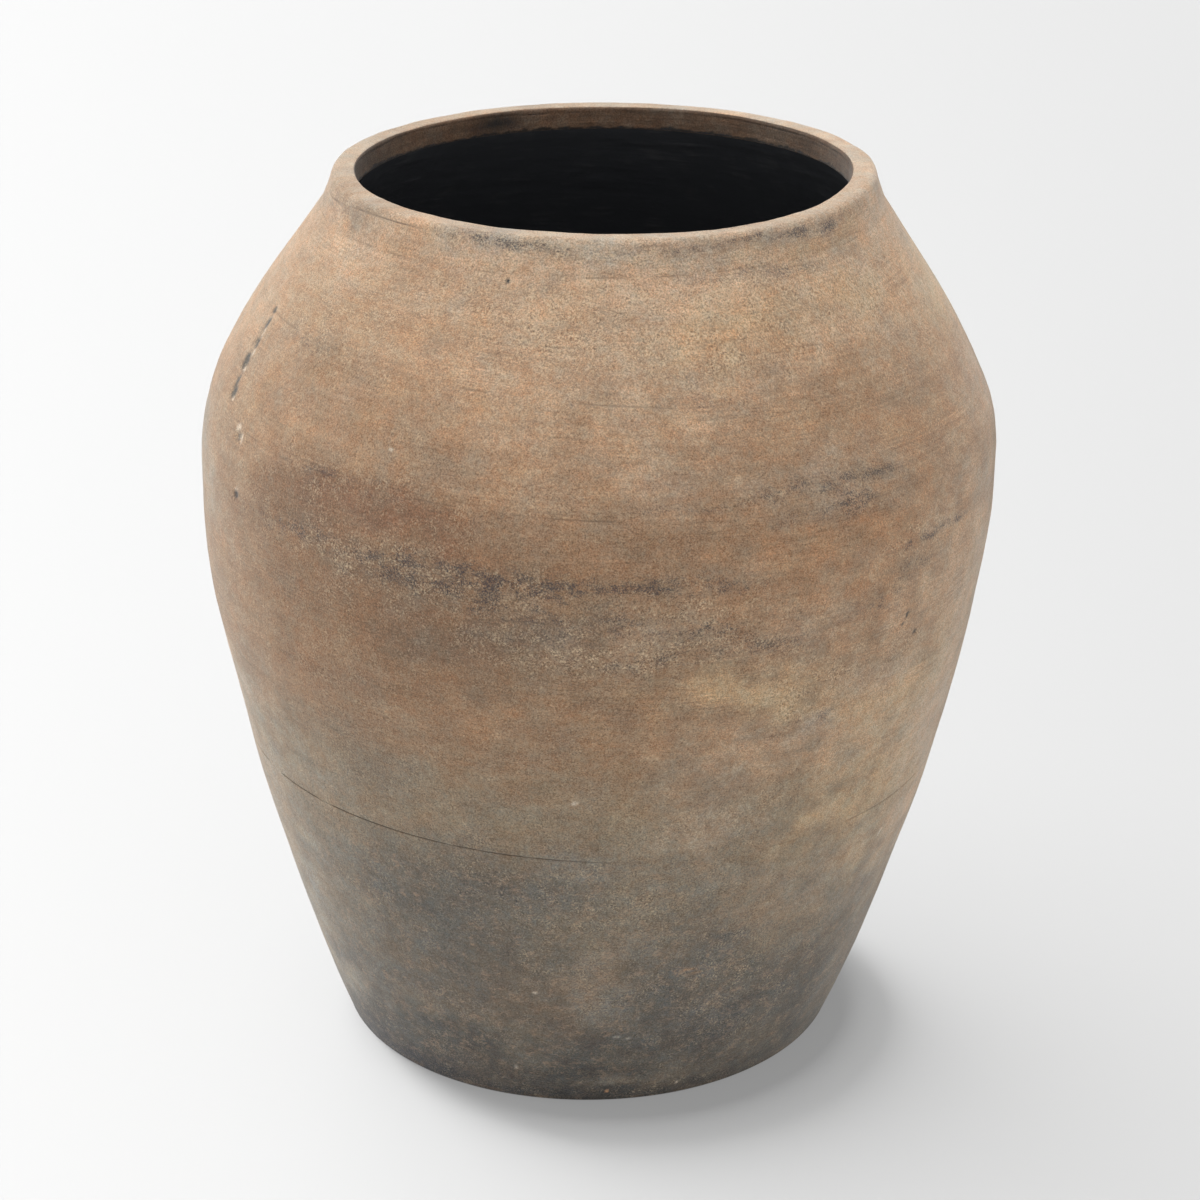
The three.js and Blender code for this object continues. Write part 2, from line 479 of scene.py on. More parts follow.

# Angle, height, width, tallness, tone, amount and lean of each cloud on the portrait side. Most are the
# fire's colours, but the pale clouds stacked close to the outline, near 66 to 69, -78 to -80 and 80
# degrees, are partly painted sheen, and the pale ones on the front of the lip are partly a painted
# highlight
FIRE_CLOUDS_AND_PAINTED_SHEEN = laid(
    Cloud,
    (-38, 470, 14, 15, CLAY, 0.6), (-15, 474, 9, 11, BROWN, 0.3), (8, 470, 22, 16, PALE, 0.5),
    (25, 455, 18, 16, OCHRE, 0.3), (48, 448, 12, 14, PALE, 0.6), (-46, 428, 12, 20, BROWN, 0.8),
    (-30, 405, 16, 17, BROWN, 0.45), (-62, 405, 9, 28, TAN, 0.4), (14, 424, 10, 12, TAN, 0.4),
    (40, 421, 11, 10, BROWN, 0.55), (62, 430, 9, 18, TAN, 0.4), (36, 382, 9, 9, UMBER, 0.3),
    (52, 388, 9, 14, APRICOT, 0.4), (-42, 368, 15, 15, RUST, 0.95), (-22, 364, 15, 14, RUST, 0.8),
    (0, 360, 14, 12, RUST, 0.45), (-14, 350, 12, 9, RUST, 0.5), (24, 357, 14, 12, APRICOT, 0.35),
    (44, 355, 14, 18, APRICOT, 0.65), (60, 350, 9, 30, TAN, 0.5), (18, 332, 12, 14, APRICOT, 0.35),
    (34, 318, 12, 22, APRICOT, 0.6), (-28, 318, 15, 18, RUST, 0.65), (-14, 300, 12, 16, RUST, 0.5),
    (-6, 322, 11, 10, UMBER, 0.35), (2, 298, 15, 12, DRAB, 0.4), (-16, 274, 11, 9, APRICOT, 0.2),
    (22, 280, 11, 13, OCHRE, 0.75), (36, 270, 10, 9, OCHRE, 0.35), (46, 240, 12, 26, OCHRE, 0.8),
    (62, 240, 9, 56, OCHRE, 0.5), (28, 246, 9, 11, TAN, 0.6), (-60, 320, 9, 50, CLAY, 0.35),
    (-32, 214, 16, 22, DRAB, 0.3), (-62, 180, 10, 60, ASH, 0.5), (-45, 196, 11, 16, ASH, 0.3),
    (-18, 160, 13, 18, SMOKE, 0.75), (-34, 134, 13, 30, SMOKE, 0.6), (-14, 112, 10, 16, UMBER, 0.4),
    (47, 184, 12, 20, OCHRE, 0.7), (59, 172, 9, 32, OCHRE, 0.55), (48, 142, 12, 18, OLIVE, 0.8),
    (16, 160, 12, 12, ASH, 0.35), (32, 128, 13, 16, OLIVE, 0.35), (16, 76, 11, 22, SMOKE, 0.7),
    (31, 52, 13, 26, SMOKE, 0.65), (45, 66, 9, 18, SMOKE, 0.3), (0, 48, 12, 14, SMOKE, 0.45),
    (60, 70, 9, 44, ASH, 0.45), (-16, 78, 13, 18, BROWN, 0.18), (-60, 90, 10, 56, ASH, 0.75),
    (-44, 76, 10, 30, ASH, 0.3), (24, 22, 20, 13, DRAB, 0.25), (-28, 18, 13, 12, RUST, 0.15),
    (-66, 494, 17, 9, BROWN, 0.5), (-16, 497, 16, 5, BONE, 0.8), (60, 494, 18, 10, CLAY, 0.5),
    (-78, 478, 9, 12, CLAY, 0.4), (-78, 160, 11, 60, PALE, 0.3), (78, 190, 9, 36, BROWN, 0.6),
    (-24, 88, 16, 34, SMOKE, 0.3), (-45, 60, 12, 30, SMOKE, 0.25), (38, 88, 10, 18, SMOKE, 0.25),
    (-48, 325, 14, 24, RUST, 0.4), (-34, 282, 17, 14, RUST, 0.4), (52, 318, 13, 22, TAN, 0.5),
    (38, 252, 10, 12, OCHRE, 0.4), (-58, 12, 18, 12, SLATE, 0.7), (-30, 228, 16, 14, OLIVE, 0.4),
    (-36, 240, 17, 38, UMBER, 0.2), (-22, 112, 17, 28, SLATE, 0.28), (18, 110, 9, 24, SMOKE, 0.35),
    (25, 50, 12, 16, SMOKE, 0.35), (54, 60, 7, 20, SLATE, 0.4), (82, 72, 12, 34, RUST, 0.85),
    (80, 202, 11, 18, RUST, 0.6), (-44, 3, 34, 13, SOOT, 0.6), (-36, 30, 13, 12, SLATE, 0.3),
    (33, 92, 8, 13, SLATE, 0.35), (-36, 124, 8, 12, SLATE, 0.25), (-2, 169, 8, 7, SLATE, 0.25),
    # These pale stacks near 66 to 69 degrees are painted sheen of grazing light, laid over the fire's
    # colours
    (69, 152, 11, 42, PALE, 0.6), (69, 206, 12, 52, BONE, 0.65), (69, 290, 11, 30, BONE, 0.45),
    (68, 325, 11, 42, PALE, 0.5), (48, 140, 10, 16, OCHRE, 0.35), (54, 295, 8, 24, TAN, 0.35),
    (42, 210, 8, 14, OCHRE, 0.4), (42, 270, 8, 12, TAN, 0.35), (42, 372, 9, 12, ASH, 0.4),
    (17, 205, 9, 24, ASH, 0.45), (17, 248, 10, 26, TAN, 0.35), (30, 310, 10, 28, ASH, 0.35),
    (6, 415, 9, 24, PALE, 0.35), (8, 316, 11, 14, ASH, 0.4), (8, 352, 10, 8, TAN, 0.4),
    (-6, 362, 8, 10, TAN, 0.3), (-30, 360, 12, 12, BRICK, 0.5), (-80, 355, 11, 28, ASH, 0.8),
    # The pale clouds near -78 to -80 degrees here and further down are partly painted sheen near the
    # outline
    (-80, 222, 11, 18, BONE, 0.7), (-78, 150, 11, 24, PALE, 0.2), (-78, 60, 11, 36, ASH, 0.35),
    (-66, 398, 8, 26, OLIVE, 0.35), (-58, 455, 13, 18, OLIVE, 0.25), (-54, 335, 8, 40, RUST, 0.2),
    (56, 420, 8, 30, BROWN, 0.35), (50, 468, 10, 12, OCHRE, 0.4), (58, 491, 16, 7, CLAY, 0.4),
    (-54, 491, 12, 7, CLAY, 0.35), (-8, 489, 26, 6, PALE, 0.9), (20, 80, 12, 42, SMOKE, 0.3),
    (-24, 132, 14, 26, SMOKE, 0.35), (-33, 36, 13, 14, SLATE, 0.3), (0, 40, 12, 15, SLATE, 0.25),
    (-36, 222, 14, 16, UMBER, 0.12), (80, 382, 11, 20, PALE, 0.5), (80, 338, 11, 14, BROWN, 0.5),
    (80, 432, 11, 12, OLIVE, 0.4), (14, 314, 15, 18, TAN, 0.35), (30, 388, 9, 10, ASH, 0.3),
    (14, 430, 26, 12, BONE, 0.25), (-14, 456, 18, 16, BONE, 0.25), (26, 180, 10, 12, UMBER, 0.2),
    (-18, 176, 11, 14, UMBER, 0.25), (18, 102, 8, 13, SMOKE, 0.55, 3.0),
    (32, 62, 7, 12, SLATE, 0.4, 1.0), (46, 66, 11, 10, SLATE, 0.4, 1.0),
    (-29, 138, 6, 22, SLATE, 0.35, -3.0), (-38, 108, 6, 14, SLATE, 0.25, 2.0),
    (4, 98, 7, 20, BROWN, 0.35, 2.5), (37, 136, 9, 12, BROWN, 0.35, 1.0),
    (42, 112, 8, 12, OLIVE, 0.35, 1.0), (-12, 96, 6, 16, DRAB, 0.25, 3.0), (-18, 54, 8, 12, DRAB, 0.25),
    (-42, 50, 8, 14, ASH, 0.25), (14, 7, 22, 7, DRAB, 0.4), (52, 8, 14, 8, DRAB, 0.3),
    (-2, 24, 8, 8, COAL, 0.35), (-52, 4, 18, 13, SOOT, 0.45), (-18, 4, 12, 10, SOOT, 0.2),
    (-79, 62, 11, 38, BONE, 0.3), (-79, 190, 11, 40, BONE, 0.3), (-79, 350, 11, 22, BONE, 0.4),
    (80, 200, 11, 16, BROWN, 0.6), (80, 342, 11, 16, BROWN, 0.5), (80, 252, 11, 14, TAN, 0.4),
    (18, 212, 8, 20, TAN, 0.3), (31, 238, 8, 12, TAN, 0.4), (44, 250, 9, 20, BONE, 0.3),
    (30, 308, 9, 20, TAN, 0.3), (-48, 270, 9, 20, RUST, 0.25), (-42, 360, 10, 12, UMBER, 0.15),
    (-36, 210, 10, 12, UMBER, 0.15), (54, 490, 12, 6, CLAY, 0.35), (-20, 490, 14, 6, BONE, 0.4),
    (-56, 5, 20, 9, SOOT, 0.55), (-26, 8, 10, 8, SLATE, 0.35), (4, 8, 12, 6, ASH, 0.3),
    (76, 14, 9, 14, DRAB, 0.4), (-70, 42, 12, 20, ASH, 0.35), (-15, 32, 8, 9, DRAB, 0.4),
    (26, 50, 9, 12, SLATE, 0.35), (54, 50, 7, 11, SLATE, 0.4), (6, 74, 6, 14, ASH, 0.45),
    (7, 108, 6, 12, DRAB, 0.45), (-78, 76, 11, 22, ASH, 0.5), (-42, 112, 7, 12, ASH, 0.4),
    (-54, 132, 8, 16, ASH, 0.45), (18, 130, 7, 10, SMOKE, 0.25), (42, 132, 7, 14, ASH, 0.3),
    (69, 162, 11, 26, BONE, 0.35), (-79, 232, 11, 20, BONE, 0.6), (-6, 172, 7, 8, ASH, 0.35),
    (18, 196, 8, 16, BONE, 0.25), (30, 190, 7, 8, UMBER, 0.2), (42, 216, 8, 22, BONE, 0.3),
    (80, 202, 11, 14, BROWN, 0.7), (30, 250, 7, 12, BONE, 0.35), (18, 270, 8, 9, OCHRE, 0.35),
    (42, 272, 7, 10, BONE, 0.3), (-24, 310, 14, 11, UMBER, 0.25), (54, 295, 7, 14, BONE, 0.3),
    (80, 336, 11, 14, RUST, 0.4), (41, 373, 9, 9, TAN, 0.5), (30, 372, 7, 9, BONE, 0.35),
    (36, 391, 12, 8, BONE, 0.3), (6, 391, 8, 9, BONE, 0.35), (80, 396, 11, 16, BONE, 0.4),
    (-6, 352, 8, 7, CLAY, 0.3), (18, 351, 8, 8, TAN, 0.3), (6, 471, 9, 9, PALE, 0.5),
    (-60, 493, 12, 5, OLIVE, 0.25), (-50, 4, 22, 10, INK, 0.5), (-42, 30, 14, 10, SLATE, 0.25),
    (16, 66, 10, 16, INK, 0.12), (28, 46, 9, 12, INK, 0.15), (-8, 92, 9, 12, SLATE, 0.2),
    (66, 8, 10, 7, DRAB, 0.3), (-26, 310, 10, 8, UMBER, 0.15), (7, 312, 9, 12, TAN, 0.3),
    (32, 330, 12, 9, TAN, 0.3), (-40, 356, 14, 14, UMBER, 0.15), (-36, 226, 14, 16, UMBER, 0.12),
    (-54, 4, 20, 10, INK, 0.35), (54, 3, 8, 5, COAL, 0.35), (81, 14, 11, 12, ASH, 0.35),
    (18, 30, 8, 9, DRAB, 0.25), (42, 28, 8, 10, DRAB, 0.35), (68, 30, 10, 13, DRAB, 0.45),
    (-42, 52, 7, 12, DRAB, 0.25), (-18, 49, 9, 12, DRAB, 0.3), (43, 50, 7, 10, DRAB, 0.25),
    (28, 72, 9, 12, ASH, 0.25), (82, 76, 12, 28, UMBER, 0.4), (-79, 82, 11, 18, ASH, 0.35),
    (8, 112, 10, 11, ASH, 0.35), (44, 108, 10, 13, ASH, 0.3), (-54, 132, 7, 14, ASH, 0.3),
    (40, 132, 9, 12, ASH, 0.3), (42, 152, 8, 11, BONE, 0.25), (32, 148, 9, 12, ASH, 0.2),
    (66, 160, 9, 18, BONE, 0.3), (2, 170, 9, 9, ASH, 0.3), (-30, 190, 7, 8, OLIVE, 0.3),
    (18, 192, 8, 12, BONE, 0.2), (67, 212, 9, 34, BONE, 0.45), (83, 204, 8, 22, UMBER, 0.4),
    (-79, 230, 11, 18, BONE, 0.4), (20, 230, 9, 10, BONE, 0.2), (44, 228, 12, 13, BONE, 0.3),
    (30, 252, 8, 11, BONE, 0.3), (67, 262, 9, 22, BONE, 0.3), (42, 270, 7, 9, BONE, 0.2),
    (-7, 311, 9, 9, UMBER, 0.2), (67, 312, 9, 14, BONE, 0.3), (66, 350, 9, 12, BONE, 0.35),
    (83, 342, 8, 16, RUST, 0.35), (-30, 331, 9, 9, UMBER, 0.15), (-42, 352, 8, 8, UMBER, 0.15),
    (42, 371, 8, 8, BONE, 0.2), (54, 390, 9, 9, BROWN, 0.35), (-68, 390, 9, 10, BROWN, 0.3),
    (6, 471, 9, 8, BONE, 0.35), (-30, 470, 8, 8, BROWN, 0.25), (50, 491, 24, 5, OCHRE, 0.25),
)

FLECKS_AND_PAINTED_HIGHLIGHT = laid(
    Patch,
    (22, 462, 34, 24, 0.75), (-10, 460, 22, 18, 0.35), (8, 448, 10, 18, 0.35), (-50, 452, 18, 20, 0.45),
    (32, 277, 14, 15, 0.75), (8, 308, 16, 15, 0.9), (-27, 338, 14, 7, 0.75), (12, 330, 9, 8, 0.6),
    (50, 335, 9, 12, 0.5), (5, 140, 24, 22, 0.35), (20, 200, 14, 18, 0.3), (27, 88, 15, 24, 0.45),
    # The last two, on the front of the lip's land, are partly pale flecks and partly a painted highlight
    (-18, 497, 15, 5, 0.8), (6, 497, 14, 4, 0.5),
)

SOOT_PATCHES = laid(
    Patch,
    (-24, 496.5, 9, 3.0, 0.7), (-10, 496.5, 8, 3.0, 0.35), (12, 496.5, 9, 2.5, 0.45),
    (46, 496, 10, 4.0, 1.0), (28, 497, 9, 2.5, 0.55), (-68, 488, 10, 6, 0.4), (20, 480, 14, 3.0, 0.3),
    (36, 478, 9, 4.0, 0.35), (-20, 344, 12, 6.5, 0.75), (-44, 347, 8, 5.5, 0.6), (-26, 337, 9, 7, 0.4),
    (-6, 341, 9, 6.5, 0.6), (8, 342, 8, 7.0, 0.6), (19, 340, 6, 4.0, 0.4), (0, 325, 9, 5.0, 0.55),
    (-14, 331, 7, 6.0, 0.55), (-8, 316, 10, 5.0, 0.35), (6, 301, 6, 6.0, 0.45), (14, 316, 7, 6, 0.55),
    (22, 304, 9, 7, 0.45), (35.5, 369, 4.0, 6.5, 0.9), (40, 382, 7, 3.0, 0.5), (29, 384, 9, 4.0, 0.5),
    (24, 370, 7, 4.0, 0.25), (57.5, 338, 7, 2.6, 0.8), (47, 339, 6, 3.0, 0.4), (43, 312, 6, 7, 0.45),
    (50, 326, 7, 8, 0.35), (-30, 374, 14, 2.5, 0.3), (-38, 381, 10, 3.5, 0.45), (18, 380, 16, 2.5, 0.3),
    (33, 254, 7, 9, 0.4), (-54, 434, 8, 8, 0.4), (16, 426, 8, 3, 0.3), (-18, 160, 11, 15, 0.25),
    (24, 120, 7, 5, 0.45), (28, 60, 18, 30, 0.15), (-5, 6, 60, 5, 0.35),
)

# The hairlines' heights, and how strongly each shows round the pot
LINES = (
    TurningLine(
        0.179,
        (
            (-180, 0.5), (-95, 0.8), (-80, 1.0), (-8, 1.0), (4, 0.2), (24, 0.1), (34, 0.55), (70, 0.6),
            (110, 0.35),
        ),
        depth=0.0005,
        broken=-0.4,
    ),
    TurningLine(
        0.3435,
        ((-180, 0.3), (-62, 0.1), (-45, 0.25), (-5, 0.3), (30, 0.1), (120, 0.2)),
        seed=2,
    ),
    TurningLine(0.3757, ((-180, 0.1), (-68, 0.3), (-40, 0.6), (0, 0.5), (12, 0.1)), seed=3),
    TurningLine(0.3780, ((-180, 0.0), (-50, 0.2), (-20, 0.4), (8, 0.3), (20, 0.0)), seed=4),
    TurningLine(0.3885, ((-180, 0.0), (22, 0.0), (30, 0.4), (40, 0.4), (50, 0.0)), seed=5),
    TurningLine(
        0.427,
        (
            (-180, 0.3), (-90, 0.2), (-72, 0.2), (-66, 0.5), (-50, 0.4), (-30, 0.45), (8, 0.4), (20, 0.1),
            (90, 0.2),
        ),
        seed=6,
    ),
    TurningLine(
        0.481,
        ((-180, 0.3), (-50, 0.1), (-30, 0.35), (15, 0.4), (25, 0.15), (40, 0.3), (55, 0.1), (110, 0.3)),
        broken=0.5,
        seed=7,
    ),
    TurningLine(
        0.492,
        ((-180, 0.0), (-80, 0.0), (-74, 0.8), (-44, 0.9), (-36, 0.0), (180, 0.0)),
        broken=0.0,
        seed=12,
        climb=((-180, 0.0), (-75, 0.0), (-57, 0.004), (-41, 0.0045), (180, 0.0)),
    ),
    TurningLine(0.2705, ((-180, 0.2), (-85, 0.4), (-45, 0.4), (-30, 0.0), (60, 0.0), (120, 0.3)), seed=8),
    TurningLine(0.2446, ((-180, 0.1), (-85, 0.4), (-55, 0.35), (-42, 0.0), (90, 0.0)), seed=9),
    TurningLine(0.2150, ((-180, 0.0), (-34, 0.0), (-27, 0.4), (-18, 0.35), (-10, 0.0)), seed=10),
    TurningLine(0.2028, ((-180, 0.2), (-80, 0.3), (-50, 0.3), (-40, 0.0), (100, 0.0)), seed=11),
)

# Angle, height, width, tallness, depth, tone, amount and slant of each mark
MARKS = laid(
    Mark,
    (-69.5, 437, 2.2, 1.8, 0.0003, SLATE, 0.8, -12), (-69.3, 430, 1.8, 3.6, 0.0003, SMOKE, 0.8, -12),
    (-68.8, 426, 1.2, 2.4, 0.0002, CHALK, 0.7, -12), (-69.2, 421, 3.0, 3.2, 0.0005, SLATE, 0.8, -12),
    (-68.4, 416, 1.4, 1.8, 0.0003, CHALK, 0.6, -12), (-69.4, 411, 3.8, 4.2, 0.0005, SLATE, 0.9, -12),
    (-68.6, 408, 1.2, 1.4, 0.0003, CHALK, 0.8, -12), (-69.0, 402, 2.2, 2.8, 0.0003, SMOKE, 0.8, -12),
    (-68.6, 396, 3.6, 3.6, 0.0006, SLATE, 0.9, -12), (-68.0, 393, 1.2, 1.2, 0.0002, CHALK, 0.6, -12),
    (-62.6, 383.5, 3.2, 1.8, 0.0006, CHALK, 0.9, 40), (-62.0, 380, 3.2, 2.8, 0.0007, SMOKE, 0.9, 30),
    (-61.0, 379.5, 1.3, 2.6, 0.0004, CHALK, 0.8, 10), (-60.2, 353.5, 2.6, 1.4, 0.0004, CHALK, 0.6, 20),
    (-60.0, 350.5, 2.4, 2.4, 0.0006, SOOT, 0.9, 0), (-17.8, 478, 1.0, 1.0, 0.0006, SOOT, 1.0),
    (-5.0, 429, 2.8, 2.2, -0.0001, CHALK, 0.4, 10), (-4.6, 427, 2.0, 1.2, 0.0001, SMOKE, 0.5),
    (-30.2, 399.5, 0.8, 0.9, 0.0, CHALK, 1.0), (47.6, 298, 1.5, 1.9, 0.0007, SOOT, 1.0, -35),
    (46.8, 293, 0.9, 1.1, 0.0004, SLATE, 0.9, 20), (50.0, 285, 1.9, 1.6, 0.0007, SOOT, 1.0, 30),
    (19.8, 9, 1.0, 1.0, 0.0002, CHALK, 1.0), (4.2, 8, 0.9, 0.9, 0.0, APRICOT, 1.0),
    (-15.2, 24.5, 1.2, 1.2, 0.0, CHALK, 0.6), (9.0, 66, 1.0, 0.8, 0.0, CHALK, 0.7),
    (-10.0, 85, 1.4, 1.0, 0.0, CHALK, 0.4), (-3.0, 217, 2.2, 1.4, 0.0, CHALK, 0.45, 15),
    (-29.8, 259.5, 1.3, 1.3, 0.0002, APRICOT, 0.7), (55.5, 152, 0.9, 2.6, 0.0003, CHALK, 0.9, -35),
    (-12.0, 150.5, 0.9, 0.9, 0.0004, SOOT, 0.8), (-6.5, 149.0, 0.8, 0.8, 0.0004, SOOT, 0.7),
    (17.0, 98, 8.0, 0.8, 0.0001, CLAY, 0.3, 6), (19.0, 95, 6.0, 0.8, 0.0, BROWN, 0.3, 9),
    (26.0, 97, 6.0, 0.8, 0.0001, CLAY, 0.25, 12), (5.2, 53, 2.2, 0.9, 0.0, CHALK, 0.25, 3),
    (7.4, 51, 1.6, 0.9, 0.0, CHALK, 0.2, 8), (8.0, 330, 0.5, 3.4, 0.0, TAN, 0.5, 20),
    (25.0, 352, 0.5, 3.0, 0.0, TAN, 0.4, 30),
)

# How far the profile stands out from the true form, up its height
SWELLS: tuple[Station, ...] = (
    (0.000, 0.00000), (0.020, 0.00011), (0.050, 0.00015), (0.080, -0.00004), (0.110, -0.00026),
    (0.125, 0.00001), (0.155, 0.00044), (0.185, -0.00004), (0.215, -0.00033), (0.245, -0.00009),
    (0.260, 0.00027), (0.290, 0.00012), (0.320, -0.00028), (0.335, -0.00012), (0.365, 0.00007),
    (0.380, 0.00012), (0.395, -0.00036), (0.410, 0.00002), (0.425, 0.00027), (0.440, 0.00004),
    (0.455, -0.00032), (0.470, -0.00010), (0.490, 0.00000),
)

# How far the main seam strays up or down, round the pot
SEAM_WANDER: tuple[Station, ...] = (
    (-180, 0.0004), (-120, -0.0006), (-65, -0.0001), (-45, 0.0012), (-30, 0.0017), (-15, 0.0008),
    (-5, 0.0006), (20, -0.0014), (35, -0.0004), (65, 0.0001), (120, 0.0007),
)


@dataclass
class Grid:
    """The points of one piece on the true turned form, before it settles.

    Rows follow the section and columns go round the pot. `seen` is the height that each point
    comes to once the clay has settled.
    """

    angle: Array
    height: Array
    radius: Array
    raised: Array
    seen: Array

    @cached_property
    def places(self) -> Array:
        """The points' x, y and z, to read mottles and textures at."""
        turn = np.radians(self.angle)
        flat = [self.radius * np.sin(turn), -self.radius * np.cos(turn), self.height]
        return np.stack(flat, axis=-1)


@dataclass
class Looks:
    """What the finish reads at each point: a colour, and how much fleck, soot, line and fur.

    Fur is how thick the fine pale scratches lie.
    """

    colour: Array
    fleck: Array
    soot: Array
    line: Array
    fur: Array


@dataclass
class Skin:
    """The outer face of the whole urn: its relief, its fire colours, and the sheen and highlight painted
    into them.

    Pieces share it, so that swells, lines and clouds run on over the joints.
    """

    form: UrnForm
    belly_limit: float = 0.2211
    swell_blur: float = 0.004
    seam_reach: float = 0.022
    seam_blur: float = 6.0
    # The unevenness that the hands left, broad and fine, and the ridges of the turning
    broad: Mottle = Mottle(0.075, 21, 2)
    fine: Mottle = Mottle(0.024, 22, 2)
    ridges: Mottle = Mottle(0.0045, 23, 2, along=16.0)
    broad_rise: float = 0.00022
    fine_rise: float = 0.00007
    low_ridge: float = 0.00002
    high_ridge: float = 0.00005
    # Where the ridges rise and where they sink again, and over how much height each
    ridge_ends: Station = (0.27, 0.46)
    ridge_fades: Station = (0.05, 0.03)
    # What pushes the clouds' edges about, round the pot in degrees and up in metres
    pushes: tuple[tuple[float, Mottle], ...] = ((6.0, Mottle(0.045, 31)), (2.2, Mottle(0.010, 38)))
    lifts: tuple[tuple[float, Mottle], ...] = ((0.009, Mottle(0.05, 32)), (0.0045, Mottle(0.011, 33)))
    # What varies the tone: patches, frayed edges, streaks, a coarse mottle, warmth and nibbled marks
    patches: Mottle = Mottle(0.016, 34)
    fraying: Mottle = Mottle(0.009, 39, along=1.6)
    streaks: Mottle = Mottle(0.0035, 35, 2, along=14.0)
    coarse: Mottle = Mottle(0.0085, 36, 2)
    warmth: Mottle = Mottle(0.015, 37)
    nibbles: Mottle = Mottle(0.0032, 40, 2)
    # How much warmth changes red, green and blue
    warming: Colour = (0.045, 0.0, -0.055)
    # Flecks and soot all over, and the height below which flecks thin out
    all_fleck: float = 0.34
    all_soot: float = 0.04
    fleck_foot: float = 0.2
    fleck_fade: float = 0.08
    # The worn heel, and where the scratches lie thick: below one height and above another
    heel: float = 0.0026
    heel_width: float = 0.0009
    fur_top: float = 0.26
    fur_foot: float = 0.006
    fur_fades: Station = (0.09, 0.02)
    back_clouds: int = 64
    back_seed: int = 41

    def wander(self, angle: Array, height: Array) -> Array:
        """How far the turning lines near the main seam stray up or down, fading away from it."""
        near = hump((height - self.form.lower_joint) / self.seam_reach)
        return softened(angle, SEAM_WANDER, self.seam_blur) * near

    def relief(self, grid: Grid) -> Array:
        """How far the face stands out at each point.

        Swells up the profile, broad unevenness from the hands, ridges from the turning, the
        turning lines' grooves and the marks' dents are added up. The ridges are higher on the
        belly and shoulder. The widest ring stays below a limit, so that the face never leaves the
        solid's own box.

        Args:
            grid: the points.

        Returns:
            metres outwards.
        """
        angle, height, places = grid.angle, grid.height, grid.places
        out = between_softly(height, SWELLS, self.swell_blur)
        out = out + self.broad_rise * self.broad.at(places)
        out += self.fine_rise * self.fine.at(places)
        (start, end), (rising, sinking) = self.ridge_ends, self.ridge_fades
        upper = eased((height - start) / rising) * (0.4 + 0.6 * eased((end - height) / sinking))
        out += (self.low_ridge + self.high_ridge * upper) * self.ridges.at(places)
        for line in LINES:
            out -= line.depth * line.trace(angle, height, places)
        for mark in MARKS:
            out -= mark.depth * mark.spread(angle, grid.seen, grid.radius)
        room = self.belly_limit - self.form.radius(grid.seen)
        return np.minimum(out, room)

    def clouds(self) -> list[Cloud]:
        """The portrait side's clouds, and seeded ones of the same kinds round the back.

        A seeded cloud picks its height first, and then a tone that the fire leaves there.

        Returns:
            the clouds, in the order in which they are laid.
        """
        rng = np.random.default_rng(self.back_seed)
        low = (SMOKE, ASH, UMBER, OLIVE, SMOKE)
        middle = (RUST, OCHRE, APRICOT, DRAB, RUST)
        high = (BROWN, TAN, PALE, OCHRE, CLAY)
        found = list(FIRE_CLOUDS_AND_PAINTED_SHEEN)
        for _ in range(self.back_clouds):
            height = rng.uniform(10.0, 490.0)
            tones = low if height < 190 else middle if height < 385 else high
            tone = tones[rng.integers(len(tones))]
            wide, tall = rng.uniform(9.0, 19.0), rng.uniform(10.0, 26.0)
            angle = rng.uniform(84.0, 276.0)
            found.append(Cloud(angle, height, wide, tall, tone, rng.uniform(0.3, 0.8)))
        return found

    def looks(self, grid: Grid) -> Looks:
        """The face's finish at each point.

        The fire's bands are laid first. The clouds go over them, with their edges pushed about by
        mottles and frayed where the cloud is half as strong as in its middle. Streaks, mottles
        and a warmer or cooler cast vary all of it, and the marks and the worn heel go on last.

        Args:
            grid: the points.

        Returns:
            their colour, flecks, soot, lines and fur.
        """
        angle, height, places = grid.angle, grid.seen, grid.places
        push = sum(reach * mottle.at(places) for reach, mottle in self.pushes)
        lift = sum(reach * mottle.at(places) for reach, mottle in self.lifts)
        patchy = self.patches.at(places)
        frayed = self.fraying.at(places)
        heights, colours = zip(*((place * MM, tone.value) for place, tone in FIRE_BANDS))
        warped = height + lift * 1.3
        colour = np.stack([np.interp(warped, heights, part) for part in zip(*colours)], axis=-1)
        for cloud in self.clouds():
            across = apart(angle + push, cloud.angle)
            up = (height + lift) / MM - cloud.height - cloud.lean * across
            body = hump(np.hypot(across / cloud.wide, up / cloud.tall))
            body = body + 0.7 * body * (1.0 - body) * frayed
            share = cloud.amount * body * (1.0 + 0.3 * patchy)
            colour = mixed(colour, cloud.tone.colour, np.clip(share, 0.0, 1.0))
        streak = self.streaks.at(places)
        coarse = self.coarse.at(places)
        warm = self.warmth.at(places)
        shade = 1.0 + 0.045 * streak + 0.06 * coarse + 0.06 * patchy + 0.05 * frayed
        colour = colour * shade[..., None]
        colour = colour * (1.0 + (warm + 0.5 * frayed)[..., None] * np.array(self.warming))
        low = eased((self.fleck_foot - height) / self.fleck_fade)
        fleck = self.all_fleck + 0.16 * patchy - 0.12 * low
        for patch in FLECKS_AND_PAINTED_HIGHLIGHT:
            fleck = fleck + patch.spread(angle + push * 0.6, height + lift)
        soot = self.all_soot + 0.06 * np.clip(patchy, 0.0, 1.0)
        for patch in SOOT_PATCHES:
            soot = soot + patch.spread(angle + push * 0.4, height + lift * 0.35)
        fleck = fleck + 0.5 * soot
        line = np.zeros(soot.shape)
        for turned in LINES:
            line = line + turned.trace(angle, grid.height, places)
        nibbled = self.nibbles.at(places)
        for mark in MARKS:
